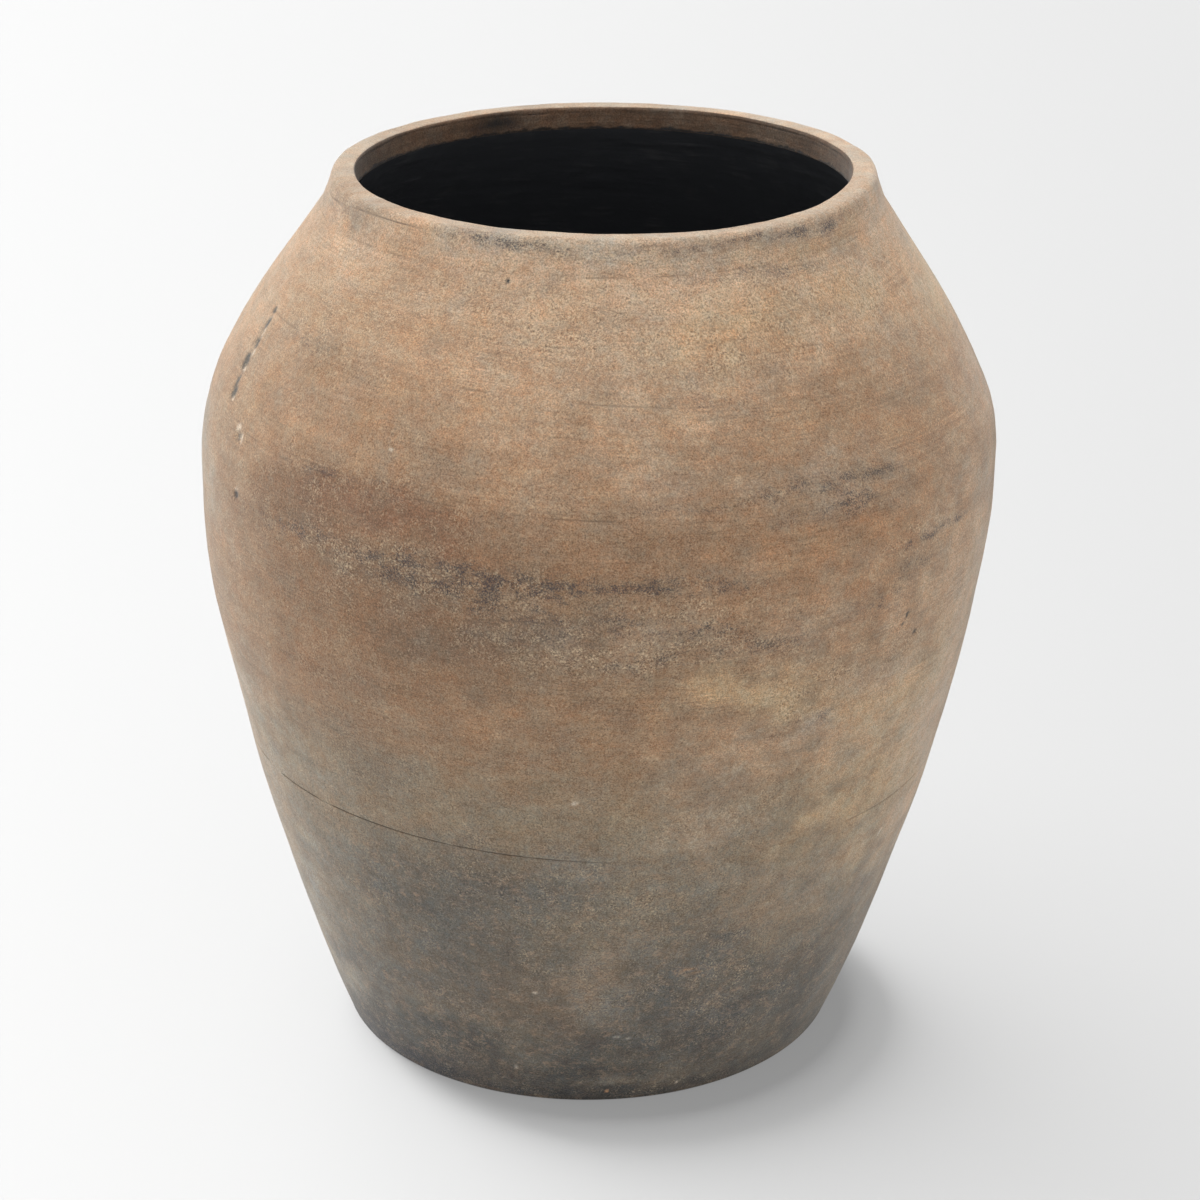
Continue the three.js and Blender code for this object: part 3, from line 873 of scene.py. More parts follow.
            share = mark.amount * mark.spread(angle, height, grid.radius)
            share = share * (1.0 + 0.5 * coarse) + 1.4 * share * (1.0 - share) * nibbled
            colour = mixed(colour, mark.tone.colour, np.clip(share * 1.3, 0.0, 1.0))
        heel = hump((height - self.heel - lift * 0.05) / self.heel_width) * eased(0.2 + 1.6 * frayed)
        colour = mixed(colour, BROWN.colour, 0.25 * heel)
        fading, growing = self.fur_fades
        fur = eased((self.fur_top - height - lift) / fading)
        fur = fur * (0.4 + 0.6 * eased((height - self.fur_foot) / growing))
        return Looks(colour, np.clip(fleck, 0, 1), np.clip(soot, 0, 1), np.clip(line, 0, 1), fur)


@dataclass(frozen=True)
class Grain:
    """One noise of a finish: the size of its features in metres, its detail and its twist.

    It may be drawn out, its features then being level and longer than they are tall. Low and high
    are the values of the noise at which what it lays on the clay starts and is complete, and
    thread is how far from its middle its winding lines reach.
    """

    size: float
    detail: float = 2.0
    twist: float = 0.0
    drawn: float = 1.0
    low: float = 0.0
    high: float = 1.0
    thread: float = 0.05


class Graph:
    """Builds one material's nodes with short calls. A value may be a number or another node's result."""

    def __init__(self, material: Material) -> None:
        """Starts from the material's own shader."""
        self.tree = material.node_tree
        self.shader = self.tree.nodes["Principled BSDF"]

    def _join(self, socket: Socket, value: object) -> None:
        """Links a result to a socket, or sets the socket to a number or a row of numbers.

        Args:
            socket: what is filled.
            value: what goes into it.
        """
        if isinstance(value, Socket):
            self.tree.links.new(value, socket)
        elif socket.type == "RGBA" and isinstance(value, tuple) and len(value) == 3:
            socket.default_value = (*value, 1.0)
        elif socket.type == "VECTOR" and isinstance(value, (int, float)):
            socket.default_value = (value, value, value)
        else:
            socket.default_value = value

    def _add(
        self, kind: str, inputs: dict[str | int, object], output: str | int = 0, **settings: object
    ) -> Socket:
        """Adds a node, sets it up, fills or links its inputs, and gives one of its results.

        Args:
            kind: the node's type, less ShaderNode.
            inputs: what goes into it, by name or number.
            output: which result is wanted.
            settings: the node's own settings, by name.

        Returns:
            that result.
        """
        node = self.tree.nodes.new("ShaderNode" + kind)
        for name, value in settings.items():
            setattr(node, name, value)
        for name, value in inputs.items():
            self._join(node.inputs[name], value)
        return node.outputs[output]

    def dress(self, values: dict[str, object]) -> None:
        """Sets some of the shader's own values."""
        for name, value in values.items():
            self._join(self.shader.inputs[name], value)

    def object_place(self) -> Socket:
        """The place on the object, in metres."""
        return self._add("TexCoord", {}, "Object")

    def attribute(self, name: str, kind: str = "Fac") -> Socket:
        """One of the mesh's own attributes, as a number, or as a Color or Vector."""
        return self._add("Attribute", {}, kind, attribute_name=name)

    def part(self, vector: Socket, axis: str) -> Socket:
        """One part of a place: X, Y or Z."""
        return self._add("SeparateXYZ", {0: vector}, axis)

    def math(self, operation: str, *values: object) -> Socket:
        """One step of arithmetic."""
        return self._add("Math", dict(enumerate(values)), operation=operation)

    def plus(self, first: object, factor: object, second: object) -> Socket:
        """The first number times a factor, plus the second."""
        return self.math("MULTIPLY_ADD", first, factor, second)

    def away(self, noise: Socket) -> Socket:
        """How far a noise lies from its middle."""
        return self.math("SUBTRACT", noise, 0.5)

    def product(self, *values: object) -> Socket:
        """Numbers multiplied together."""
        result = values[0]
        for value in values[1:]:
            result = self.math("MULTIPLY", result, value)
        return result

    def vector(self, operation: str, *values: object) -> Socket:
        """One step of arithmetic on places or colours."""
        return self._add("VectorMath", dict(enumerate(values)), operation=operation)

    def tinted(self, colour: Socket, factor: object) -> Socket:
        """A colour made brighter or darker."""
        return self._add("VectorMath", {0: colour, "Scale": factor}, operation="SCALE")

    def turned_over(self, place: object, slant: float) -> Socket:
        """A place turned about the front-to-back axis, so that long features lie slanting."""
        inputs = {"Vector": place, "Angle": math.radians(slant)}
        return self._add("VectorRotate", inputs, rotation_type="Y_AXIS")

    def noise(self, place: Socket, grain: Grain) -> Socket:
        """Smooth seeded randomness, about 0.5 on average."""
        if grain.drawn != 1.0:
            place = self.vector("MULTIPLY", place, (grain.drawn, grain.drawn, 1.0))
        inputs = {"Vector": place, "Scale": 1.0 / grain.size, "Detail": grain.detail}
        return self._add("TexNoise", {**inputs, "Roughness": 0.6, "Distortion": grain.twist})

    def step(self, value: object, low: object, high: object) -> Socket:
        """0 below low, 1 above high and eased between."""
        inputs = {"Value": value, "From Min": low, "From Max": high}
        return self._add("MapRange", inputs, interpolation_type="SMOOTHSTEP")

    def cut(self, noise: Socket, grain: Grain) -> Socket:
        """How far a noise has passed from its grain's low to its high, from 0 to 1."""
        return self.step(noise, grain.low, grain.high)

    def thread(self, place: Socket, grain: Grain) -> Socket:
        """1 where a noise passes its middle and 0 a little either side: thin winding lines."""
        away = self.math("ABSOLUTE", self.away(self.noise(place, grain)))
        return self.math("SUBTRACT", 1.0, self.step(away, 0.0, grain.thread))

    def mix(self, share: object, first: object, second: object) -> Socket:
        """Two colours blended, the share being the second one's.

        Args:
            share: how much of the second.
            first: a colour.
            second: the other.

        Returns:
            the blend.
        """
        node = self.tree.nodes.new("ShaderNodeMix")
        node.data_type = "RGBA"
        self._join(node.inputs["Factor"], share)
        colours = [socket for socket in node.inputs if socket.type == "RGBA"]
        self._join(colours[0], first)
        self._join(colours[1], second)
        return next(socket for socket in node.outputs if socket.type == "RGBA")

    def clear_from_behind(self) -> None:
        """Lets everything through where a face is met from its back."""
        behind = self._add("NewGeometry", {}, "Backfacing")
        clear = self._add("BsdfTransparent", {})
        mix = self._add("MixShader", {0: behind, 1: self.shader.outputs[0], 2: clear})
        self.tree.links.new(mix, self.tree.nodes["Material Output"].inputs["Surface"])

    def bump(self, height: object, distance: float) -> None:
        """Raises the finish by a height that goes from 0 to 1 over a distance in metres."""
        self.dress({"Normal": self._add("Bump", {"Distance": distance, "Height": height})})


def new_material(name: str) -> Material:
    """A material with an empty shader."""
    material = bpy.data.materials.new(name)
    material.use_nodes = True
    return material


@dataclass(frozen=True)
class FiredClay:
    """Unglazed earthenware: grainy, dry, with a dusting that catches grazing light."""

    name: str
    roughness: float = 0.78
    dust: float = 0.22
    # How strongly each layer shows
    grain: float = 2.0
    mottle: float = 0.6
    stain: float = 0.42
    streak: float = 0.8
    vein: float = 0.8
    gap: float = 0.4
    hair: float = 0.42
    speck: float = 0.62
    veil: float = 0.28
    # The noise behind each layer
    fine: Grain = Grain(0.0008, low=0.25, high=0.6)
    coarse: Grain = Grain(0.0026, 4.0, low=0.3, high=0.7)
    stains: Grain = Grain(0.0085, 5.0, drawn=0.7, low=0.35, high=0.65)
    streaks: Grain = Grain(0.0010, drawn=0.035)
    gathering: Grain = Grain(0.016, drawn=0.25, low=0.4, high=0.65)
    patches: Grain = Grain(0.0065, 3.0, low=0.38, high=0.62)
    winding: Grain = Grain(0.0021, 2.0, 0.6)
    dots: Grain = Grain(0.0011, 1.5, low=0.54, high=0.66)
    # The same for the reversed noise, whose dots lie in the gaps of the first
    gaps: Station = (0.52, 0.64)
    # The two sets of hairs that cross, each with its slant in degrees
    hairs: tuple[tuple[float, Grain], ...] = (
        (30.0, Grain(0.0046, 2.5, 0.7, drawn=0.35, thread=0.032)),
        (-12.0, Grain(0.0042, 2.5, 0.7, drawn=0.3, thread=0.032)),
    )
    curls: Grain = Grain(0.0040, 1.5, 1.2, thread=0.03)
    breaks: Grain = Grain(0.0060, 3.0, low=0.49, high=0.63)
    clumps: Grain = Grain(0.0050, 5.0, drawn=0.55, low=0.38, high=0.64)
    specks: Grain = Grain(0.0008, 1.0)
    # Where specks of soot start, how much sooner where there is more, and how softly
    speck_start: float = 0.54
    speck_gain: float = 0.14
    speck_fade: float = 0.16
    # Where the second of two like noises is read, so that they don't follow each other
    aside: Colour = (0.37, 0.11, 0.23)
    fleck_tone: Tone = Tone.STRAW
    hair_tone: Tone = Tone.TAN
    soot_tone: Tone = Tone.INK
    line_tone: Colour = reflectance(56, 47, 43)
    # Tints that warm or cool the laid colour
    deep: Colour = (1.06, 0.985, 0.90)
    pale: Colour = (0.955, 1.01, 1.035)
    warm: Colour = (1.045, 0.985, 0.93)
    cool: Colour = (0.965, 1.01, 1.02)
    bump: float = 0.0004

    def build(self) -> Material:
        """Makes the material.

        The colour laid on the mesh is varied by a fine and a coarser grain and by streaks along
        the turning. Pale dots gather where there is fleck, crossing hairs where there is fur,
        dark specks where there is soot, and a dark thread along the turning lines.

        Returns:
            the material.
        """
        material = new_material(self.name)
        graph = Graph(material)
        place = graph.attribute("turned", "Vector")
        other = graph.vector("ADD", place, self.aside)
        fine = graph.noise(place, self.fine)
        coarse = graph.noise(place, self.coarse)
        stain = graph.noise(other, self.stains)
        colour = self.grained(graph, fine, coarse, stain)
        colour, streaks = self.streaked(graph, colour, place)
        colour, veins = self.veined(graph, colour, place, other)
        colour, specks = self.sooted(graph, colour, other)
        line = graph.product(graph.attribute("line"), graph.cut(fine, self.fine), 0.9)
        values = {
            "Base Color": graph.mix(line, colour, self.line_tone),
            "Roughness": self.roughness,
            "Diffuse Roughness": 0.8,
            "Specular IOR Level": 0.35,
            "Sheen Weight": self.dust,
            "Sheen Roughness": 0.45,
            "Sheen Tint": (1.0, 0.97, 0.93),
        }
        graph.dress(values)
        height = graph.plus(fine, 0.5, graph.product(coarse, 0.5))
        for layer, share in ((streaks, 0.4), (veins, 0.15), (specks, -0.3)):
            height = graph.plus(layer, share, height)
        graph.bump(height, self.bump)
        return material

    def grained(self, graph: Graph, fine: Socket, coarse: Socket, stain: Socket) -> Socket:
        """The laid colour with its grain: each noise's distance from 0.5 changes its brightness.

        The coarse one also turns it paler and cooler, or deeper and redder, and so does the stain.

        Args:
            graph: where the nodes go.
            fine: the finest noise.
            coarse: a coarser one.
            stain: the broadest one.

        Returns:
            the varied colour.
        """
        laid_colour = graph.attribute("clay", "Color")
        shade = 1.0
        for noise, amount in ((fine, self.grain), (coarse, self.mottle), (stain, self.stain)):
            shade = graph.plus(graph.away(noise), amount, shade)
        colour = graph.tinted(laid_colour, graph.math("MAXIMUM", shade, 0.3))
        deep, pale = (graph.vector("MULTIPLY", colour, tint) for tint in (self.deep, self.pale))
        colour = graph.mix(graph.cut(coarse, self.coarse), deep, pale)
        warm, cool = (graph.vector("MULTIPLY", colour, tint) for tint in (self.warm, self.cool))
        return graph.mix(graph.cut(stain, self.stains), warm, cool)

    def streaked(self, graph: Graph, colour: Socket, place: Socket) -> tuple[Socket, Socket]:
        """Thin streaks along the turning, which fade where there is fur, and the streaks' noise.

        Args:
            graph: where the nodes go.
            colour: the colour so far.
            place: where each point of the clay is.

        Returns:
            the colour with streaks, and their noise.
        """
        streaks = graph.noise(place, self.streaks)
        gathered = graph.cut(graph.noise(place, self.gathering), self.gathering)
        amount = graph.plus(graph.attribute("fur"), -0.75 * self.streak, self.streak)
        amount = graph.product(amount, graph.plus(gathered, 0.8, 0.25))
        return graph.tinted(colour, graph.plus(graph.away(streaks), amount, 1.0)), streaks

    def veined(
        self, graph: Graph, colour: Socket, place: Socket, other: Socket
    ) -> tuple[Socket, Socket]:
        """Pale dots, dark gaps and broken winding hairs over the colour, and how strongly they show.

        Args:
            graph: where the nodes go.
            colour: the colour so far.
            place: where each point of the clay is.
            other: the same, read aside.

        Returns:
            the colour, and how strongly dots and hairs show.
        """
        fleck = graph.attribute("fleck")
        fur = graph.attribute("fur")
        patch = graph.cut(graph.noise(other, self.patches), self.patches)
        winding = graph.thread(place, self.winding)
        seeds = graph.noise(other, self.dots)
        dots = graph.cut(seeds, self.dots)
        gaps = graph.step(graph.math("SUBTRACT", 1.0, seeds), *self.gaps)
        gaps = graph.product(gaps, patch, fleck, -self.gap)
        colour = graph.tinted(colour, graph.math("ADD", gaps, 1.0))
        shown = graph.math("MAXIMUM", graph.product(winding, 0.6), dots)
        shown = graph.product(shown, graph.plus(patch, 0.75, 0.25), fleck, self.vein)
        colour = graph.mix(shown, colour, self.fleck_tone.value)
        slanted = zip((place, other), self.hairs)
        crossing = [graph.thread(graph.turned_over(at, slant), grain) for at, (slant, grain) in slanted]
        curl = graph.product(graph.thread(other, self.curls), 0.6)
        hair = graph.math("MAXIMUM", graph.math("MAXIMUM", *crossing), curl)
        hair = graph.product(hair, fur, self.hair)
        hair = graph.product(hair, graph.cut(graph.noise(place, self.breaks), self.breaks))
        return graph.mix(hair, colour, self.hair_tone.value), graph.math("ADD", shown, hair)

    def sooted(self, graph: Graph, colour: Socket, place: Socket) -> tuple[Socket, Socket]:
        """Fine dark specks over a thin dark veil, clumped, and closer together where there is more.

        Args:
            graph: where the nodes go.
            colour: the colour so far.
            place: where each point of the clay is.

        Returns:
            the colour, and how dark the specks are.
        """
        clumps = graph.cut(graph.noise(place, self.clumps), self.clumps)
        amount = graph.product(graph.attribute("soot"), graph.plus(clumps, 0.95, 0.35))
        speck = graph.noise(place, self.specks)
        edge = graph.plus(amount, -self.speck_gain, self.speck_start)
        dark = graph.step(speck, edge, graph.math("ADD", edge, self.speck_fade))
        dark = graph.product(dark, graph.math("MINIMUM", graph.product(amount, 1.6), 1.0), self.speck)
        veil = graph.mix(graph.product(amount, self.veil), colour, self.soot_tone.value)
        return graph.mix(dark, veil, self.soot_tone.value), dark


@dataclass(frozen=True)
class BlackSeal:
    """Matt black sealer, brushed on."""

    name: str
    roughness: float = 0.62
    tone: Colour = reflectance(72, 74, 78)
    worn: Colour = reflectance(98, 98, 100)
    strokes: Grain = Grain(0.0022, 3.0, drawn=0.09, low=0.4, high=0.75)
    drying: Grain = Grain(0.022, 3.0, low=0.45, high=0.7)
    bump: float = 0.0003

    def build(self) -> Material:
        """Makes the material: black, with drier greyer strokes along the brush's way.

        Returns:
            the material.
        """
        material = new_material(self.name)
        graph = Graph(material)
        place = graph.attribute("turned", "Vector")
        strokes = graph.noise(place, self.strokes)
        dry = graph.cut(graph.noise(place, self.drying), self.drying)
        share = graph.product(graph.cut(strokes, self.strokes), dry, 0.8)
        tone = graph.mix(share, self.tone, self.worn)
        graph.dress({"Base Color": tone, "Roughness": self.roughness, "Specular IOR Level": 0.3})
        graph.bump(strokes, self.bump)
        return material


@dataclass
class Section:
    """A closed outline through one wall, as points from the outer foot, up, over and back.

    A section that starts and ends on the axis has poles instead of closing on itself.
    """

    radius: Array
    height: Array
    lift_out: Array
    lift_up: Array
    raised: Array
    corner: Array
    share: Array
    poles: bool = False


@dataclass
class SectionPen:
    """Collects the points of a section, stretch by stretch."""

    parts: list[tuple[Array, ...]] = field(default_factory=list)

    def add(
        self,
        radius: Array,
        height: Array,
        facing: tuple[Array, Array] = (0.0, 0.0),
        raised: float = 0.0,
        share: float = 0.1,
        corner_first: bool = False,
        corner_last: bool = False,
    ) -> "SectionPen":
        """Adds a stretch.

        Args:
            radius: radii of its points.
            height: their heights.
            facing: which way the face looks, outwards and upwards.
            raised: how much of the relief it takes.
            share: its share of the picture that the finish is baked to, for each metre.
            corner_first: whether its first point is a sharp corner.
            corner_last: whether its last point is one.

        Returns:
            the pen.
        """
        radius, height = np.broadcast_arrays(np.atleast_1d(radius), np.atleast_1d(height))
        same = np.ones(len(radius))
        corner = np.zeros(len(radius), bool)
        corner[0] = corner_first
        corner[-1] |= corner_last
        out, up = (np.broadcast_to(part, radius.shape) for part in facing)
        self.parts.append((radius, height, out, up, same * raised, corner, same * share))
        return self

    def seen(
        self,
        radius: Array,
        height: Array,
        facing: tuple[Array, Array],
        corner_first: bool = False,
        corner_last: bool = False,
    ) -> "SectionPen":
        """Adds a stretch that takes all of the relief and a full share of the bake."""
        return self.add(radius, height, facing, 1.0, 1.0, corner_first, corner_last)

    def done(self, poles: bool = False) -> Section:
        """The finished section."""
        return Section(*(np.concatenate(column) for column in zip(*self.parts)), poles=poles)


@dataclass
class TurnedPiece:
    """One piece of the urn, turned from a section and settled with the rest."""

    name: str
    node: str
    slot: str
    form: UrnForm
    skin: Skin
    finish: FiredClay | BlackSeal
    columns: int = 760
    crowding: float = 0.42
    strips: int = 3

    def section(self) -> Section:
        """The outline through the piece's wall."""
        raise NotImplementedError

    def angles(self) -> Array:
        """Degrees round the pot, closer together at the front: a turn less a share of its sine."""
        turn = np.linspace(0.0, 2.0 * math.pi, self.columns, endpoint=False)
        return np.degrees(turn - self.crowding * np.sin(turn))

    def grid(self, section: Section) -> Grid:
        """The piece's points on the true turned form."""
        angle = self.angles()[None, :]
        parts = (section.height, section.radius, section.raised)
        height, radius, raised = (part[:, None] + 0.0 * angle for part in parts)
        return Grid(angle, height, radius, raised, self.form.dropped(angle, height, radius))

    def draw_outer(self, pen: SectionPen, heights: Array, corner_first: bool = True) -> None:
        """Draws a stretch of the outer face, which ends on a sharp corner."""
        slope = self.form.slope(heights)
        slant = np.hypot(1.0, slope)
        facing = (1 / slant, -slope / slant)
        pen.seen(self.form.radius(heights), heights, facing, corner_first, True)

    def rise(self, grid: Grid) -> Array:
        """How far each point lies above its height on the true form: the strayed turning lines."""
        return self.skin.wander(grid.angle, grid.height)

    def relief(self, grid: Grid) -> Array:
        """How far each point of the grid stands out from the section."""
        return self.skin.relief(grid) * grid.raised

    def looks(self, grid: Grid) -> Looks:
        """The finish at each point of the grid."""
        return self.skin.looks(grid)

    def build(self) -> bpy.types.Object:
        """Makes the piece, dresses it and hangs it on the frame.

        Returns:
            the new object, which stands for its solid.
        """
        section = self.section()
        grid = self.grid(section)
        relief = self.relief(grid)
        lifted = grid.height + relief * section.lift_up[:, None]
        radius = grid.radius + relief * section.lift_out[:, None]
        depth = self.form.radius(lifted) - radius
        places = self.form.settle(grid.angle, lifted + self.rise(grid), depth)
        places[..., 0] = np.maximum(places[..., 0], self.form.leftmost)
        places[..., 2] = np.clip(places[..., 2], 0.0, self.form.rim_top)
        mesh = TurnedMesh(self.name, places, section, self.strips)
        mesh.paint(self.looks(grid), grid.places)
        obj = mesh.finish()
        obj.data.materials.append(self.finish.build())
        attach(obj, "root")
        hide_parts(self.node)
        low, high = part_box(self.node)
        count = len(obj.data.polygons)
        LOG.info("%s: %d faces, solid from %.1f to %.1f mm", self.name, count, low.z / MM, high.z / MM)
        return obj


@dataclass
class TurnedMesh:
    """A closed mesh on rows (along the section) and columns (round the pot)."""

    name: str
    places: Array
    section: Section
    strips: int
    margin: float = 0.004

    def __post_init__(self) -> None:
        """Lays out the vertices and faces, and makes the mesh."""
        rows, columns = self.places.shape[:2]
        self.columns = columns
        here = np.arange(columns)
        after = (here + 1) % columns
        if self.section.poles:
            vertices = self.places[1:-1].reshape(-1, 3)
            vertices = np.vstack([vertices, self.places[0, :1], self.places[-1, :1]])
            inner = rows - 2
            low = np.arange(inner - 1)[:, None] * columns
            high = low + columns
            start = inner * columns
            first = np.stack([np.full(columns, start), after, here], axis=-1)
            top = (inner - 1) * columns
            last = np.stack([top + here, top + after, np.full(columns, start + 1)], axis=-1)
            fans = np.concatenate([first, last])
        else:
            vertices = self.places.reshape(-1, 3)
            low = np.arange(rows)[:, None] * columns
            high = (np.arange(rows)[:, None] + 1) % rows * columns
            fans = np.zeros((0, 3), int)
        quads = np.stack([low + here, low + after, high + after, high + here], axis=-1)
        quads = quads.reshape(-1, 4)
        corners = np.concatenate([quads.ravel(), fans.ravel()])
        starts = np.concatenate([np.arange(len(quads)) * 4, len(quads) * 4 + np.arange(len(fans)) * 3])
        self.mesh = bpy.data.meshes.new(self.name)
        self.mesh.vertices.add(len(vertices))
        self.mesh.vertices.foreach_set("co", vertices.astype(np.float32).ravel())
        self.mesh.loops.add(len(corners))
        self.mesh.loops.foreach_set("vertex_index", corners.astype(np.int32))
        self.mesh.polygons.add(len(starts))
        self.mesh.polygons.foreach_set("loop_start", starts.astype(np.int32))
        self.mesh.update(calc_edges=True)
        self.mesh.shade_smooth()
        self._sharpen()
        self._unroll(len(quads), len(fans))

    def _sharpen(self) -> None:
        """Marks the edges that run round the pot on the section's corners as sharp."""
        pairs = np.empty(len(self.mesh.edges) * 2, np.int32)
        self.mesh.edges.foreach_get("vertices", pairs)
        row = pairs.reshape(-1, 2) // self.columns
        corner = self.section.corner[1:-1] if self.section.poles else self.section.corner
        known = row.max(axis=1) < len(corner)
        sharp = np.zeros(len(row), bool)
        sharp[known] = (row[known, 0] == row[known, 1]) & corner[row[known, 0]]
        self.mesh.attributes.new("sharp_edge", "BOOLEAN", "EDGE")
        self.mesh.attributes["sharp_edge"].data.foreach_set("value", sharp)

    def _within(self, side: Array) -> Array:
        """A share of a strip, from 0 to 1, kept clear of the strip's margins."""
        return self.margin + (1 - 2 * self.margin) * side

    def _unroll(self, quads: int, fans: int) -> None:
        """Lays the faces out flat for baking, in strips one above the other.

        Across a strip runs the arc round the pot, and up it the length along the section, where
        hidden stretches are drawn together. Each face keeps its own four corners, so none wraps.

        Args:
            quads: how many faces have four corners.
            fans: how many meet in the poles.
        """
        turned = np.concatenate([self.places, self.places[:, :1]], axis=1)
        steps = np.linalg.norm(np.diff(turned, axis=1), axis=2).mean(axis=0)
        round_way = np.concatenate([[0.0], np.cumsum(steps)])
        follow = np.roll(self.places, -1, axis=0)
        rise = np.linalg.norm(follow - self.places, axis=2).mean(axis=1) * self.section.share
        up_way = np.concatenate([[0.0], np.cumsum(rise)])
        if self.section.poles:
            up_way = up_way[:-1]
        up_way /= up_way[-1]
        each = -(-self.columns // self.strips)
        strip = np.arange(self.columns) // each
        begin = round_way[strip * each]
        end = round_way[np.minimum((strip + 1) * each, self.columns)]
        ways = round_way[:-1], round_way[1:]
        left, right = (self._within((way - begin) / (end - begin)) for way in ways)
        tall = 1.0 / self.strips
        first = 1 if self.section.poles else 0
        count = quads // self.columns
        low = up_way[first : first + count][:, None]
        high = up_way[first + 1 : first + 1 + count][:, None]
        low, high = ((strip + self._within(side)) * tall for side in (low, high))
        wide = [np.broadcast_to(side, low.shape) for side in (left, right)]
        spots = [(wide[0], low), (wide[1], low), (wide[1], high), (wide[0], high)]
        laid = np.stack([np.stack(spot, axis=-1) for spot in spots], axis=2).reshape(-1, 2)
        if fans:
            middle = (left + right) / 2
            levels = (0.0, up_way[1], up_way[-2], 1.0)
            base, at, near, top = ((strip + self._within(level)) * tall for level in levels)
            start = [(middle, base), (right, at), (left, at)]
            finish = [(left, near), (right, near), (middle, top)]
            for fan in (start, finish):
                flat = np.stack([np.stack(spot, axis=-1) for spot in fan], axis=1)
                laid = np.concatenate([laid, flat.reshape(-1, 2)])
        layer = self.mesh.uv_layers.new(name="OFBake")
        layer.uv.foreach_set("vector", laid.astype(np.float32).ravel())

    def _per_vertex(self, values: Array) -> Array:
        """Values on the grid, put in the order of the vertices."""
        if not self.section.poles:
            return values.reshape((-1,) + values.shape[2:])
        inner = values[1:-1].reshape((-1,) + values.shape[2:])
        return np.concatenate([inner, values[0, :1], values[-1, :1]])

    def _store(self, name: str, kind: str, part: str, values: Array) -> None:
        """Puts values from the grid on the vertices, under a name."""
        layer = self.mesh.attributes.new(name, kind, "POINT")
        layer.data.foreach_set(part, self._per_vertex(values).astype(np.float32).ravel())

    def paint(self, looks: Looks, turned: Array) -> None:
        """Puts the finish on the vertices: a colour, four numbers, and the place before settling.

        Args:
            looks: the finish on the grid.
            turned: the grid's points before settling.
        """
        opaque = np.ones(looks.colour.shape[:-1] + (1,))
        self._store("clay", "FLOAT_COLOR", "color", np.concatenate([looks.colour, opaque], axis=-1))
        for name in ("fleck", "soot", "line", "fur"):
            self._store(name, "FLOAT", "value", getattr(looks, name))
        self._store("turned", "FLOAT_VECTOR", "vector", turned)

    def finish(self) -> bpy.types.Object:
        """The mesh as an object in the scene."""
        return placed(self.name, self.mesh)


def close_rows(low: float, high: float, count: int, lines: tuple[float, ...]) -> Array:
    """Heights from low to high, with extra ones close round each line.

    Args:
        low: the lowest height.
        high: the highest.
        count: how many evenly spaced heights there are before the extra ones.
        lines: heights of the lines.

    Returns:
        rising heights, none nearer to the next than a sixth of a millimetre.
    """
    end_gap, even_gap, least_gap = 0.2 * MM, 0.45 * MM, 0.16 * MM
    extra = (np.array(lines)[:, None] + np.array(NEAR_A_LINE) * MM).ravel()
    extra = extra[(extra > low + end_gap) & (extra < high - end_gap)]
    even = np.linspace(low, high, count)[1:-1]
    gap = np.abs(even[:, None] - np.concatenate([extra, [low, high]])).min(axis=1)
    rows = np.sort(np.concatenate([[low, high], extra, even[gap > even_gap]]))
    return rows[np.concatenate([[True], np.diff(rows) > least_gap])]


@dataclass
class WallRing(TurnedPiece):
    """One ring of wall, with a V groove in its rim and a tongue on its foot."""

    low: float = 0.0
    high: float = 0.1
    rows: int = 88
    inner_rows: int = 6
    lines: tuple[float, ...] = ()

    @property
    def foot(self) -> float:
        """The height of the level foot, one joint above the piece below."""
        return self.low + self.form.seat_gap

    def drawn_down_to(self, inner_foot: float, corner_last: bool) -> SectionPen:
        """Draws the outer face up, the grooved rim, and the inner face down to a height.

        Args:
            inner_foot: where the inner face ends.
            corner_last: whether that is a sharp corner.

        Returns:
            the pen, for the rest of the outline.
        """
        form = self.form
        inner = np.linspace(self.high, inner_foot, self.inner_rows)
        pen = SectionPen()
        lines = (*self.lines, self.low, self.high)
        self.draw_outer(pen, close_rows(self.low, self.high, self.rows, lines))
        pen.add(form.inside(self.high, 0.5), self.high - form.key_depth)
        return pen.add(form.inside(inner), inner, corner_first=True, corner_last=corner_last)

    def section(self) -> Section:
        """Outer face up, grooved rim, inner face down, tongued foot."""
        pen = self.drawn_down_to(self.foot, True)
        pen.add(self.form.inside(self.foot, 0.5), self.foot - self.form.key_depth)
        return pen.done()


@dataclass
class LowerWall(WallRing):
    """The lowest ring, which also holds the coil pressed into the corner over the slab."""

    fillet_steps: int = 6

    def section(self) -> Section:
        """As a ring of wall, with the fillet between its inner face and its foot.

        Returns:
            the closed outline.
        """
        form = self.form
        turn, top, middle = form.fillet_fit
        toe = math.acos(1.0 - form.seat_gap / form.fillet)
        arc = np.linspace(turn, toe, self.fillet_steps)[1:] - math.pi / 2
        across, up = middle + form.fillet * np.cos(arc), self.low + form.fillet * (1 + np.sin(arc))
        pen = self.drawn_down_to(top, False)
        pen.add(across, up, corner_last=True)
        pen.add(form.inside(self.foot), self.foot)
        pen.add(form.inside(self.foot, 0.5), self.foot - form.key_depth)
        return pen.done()


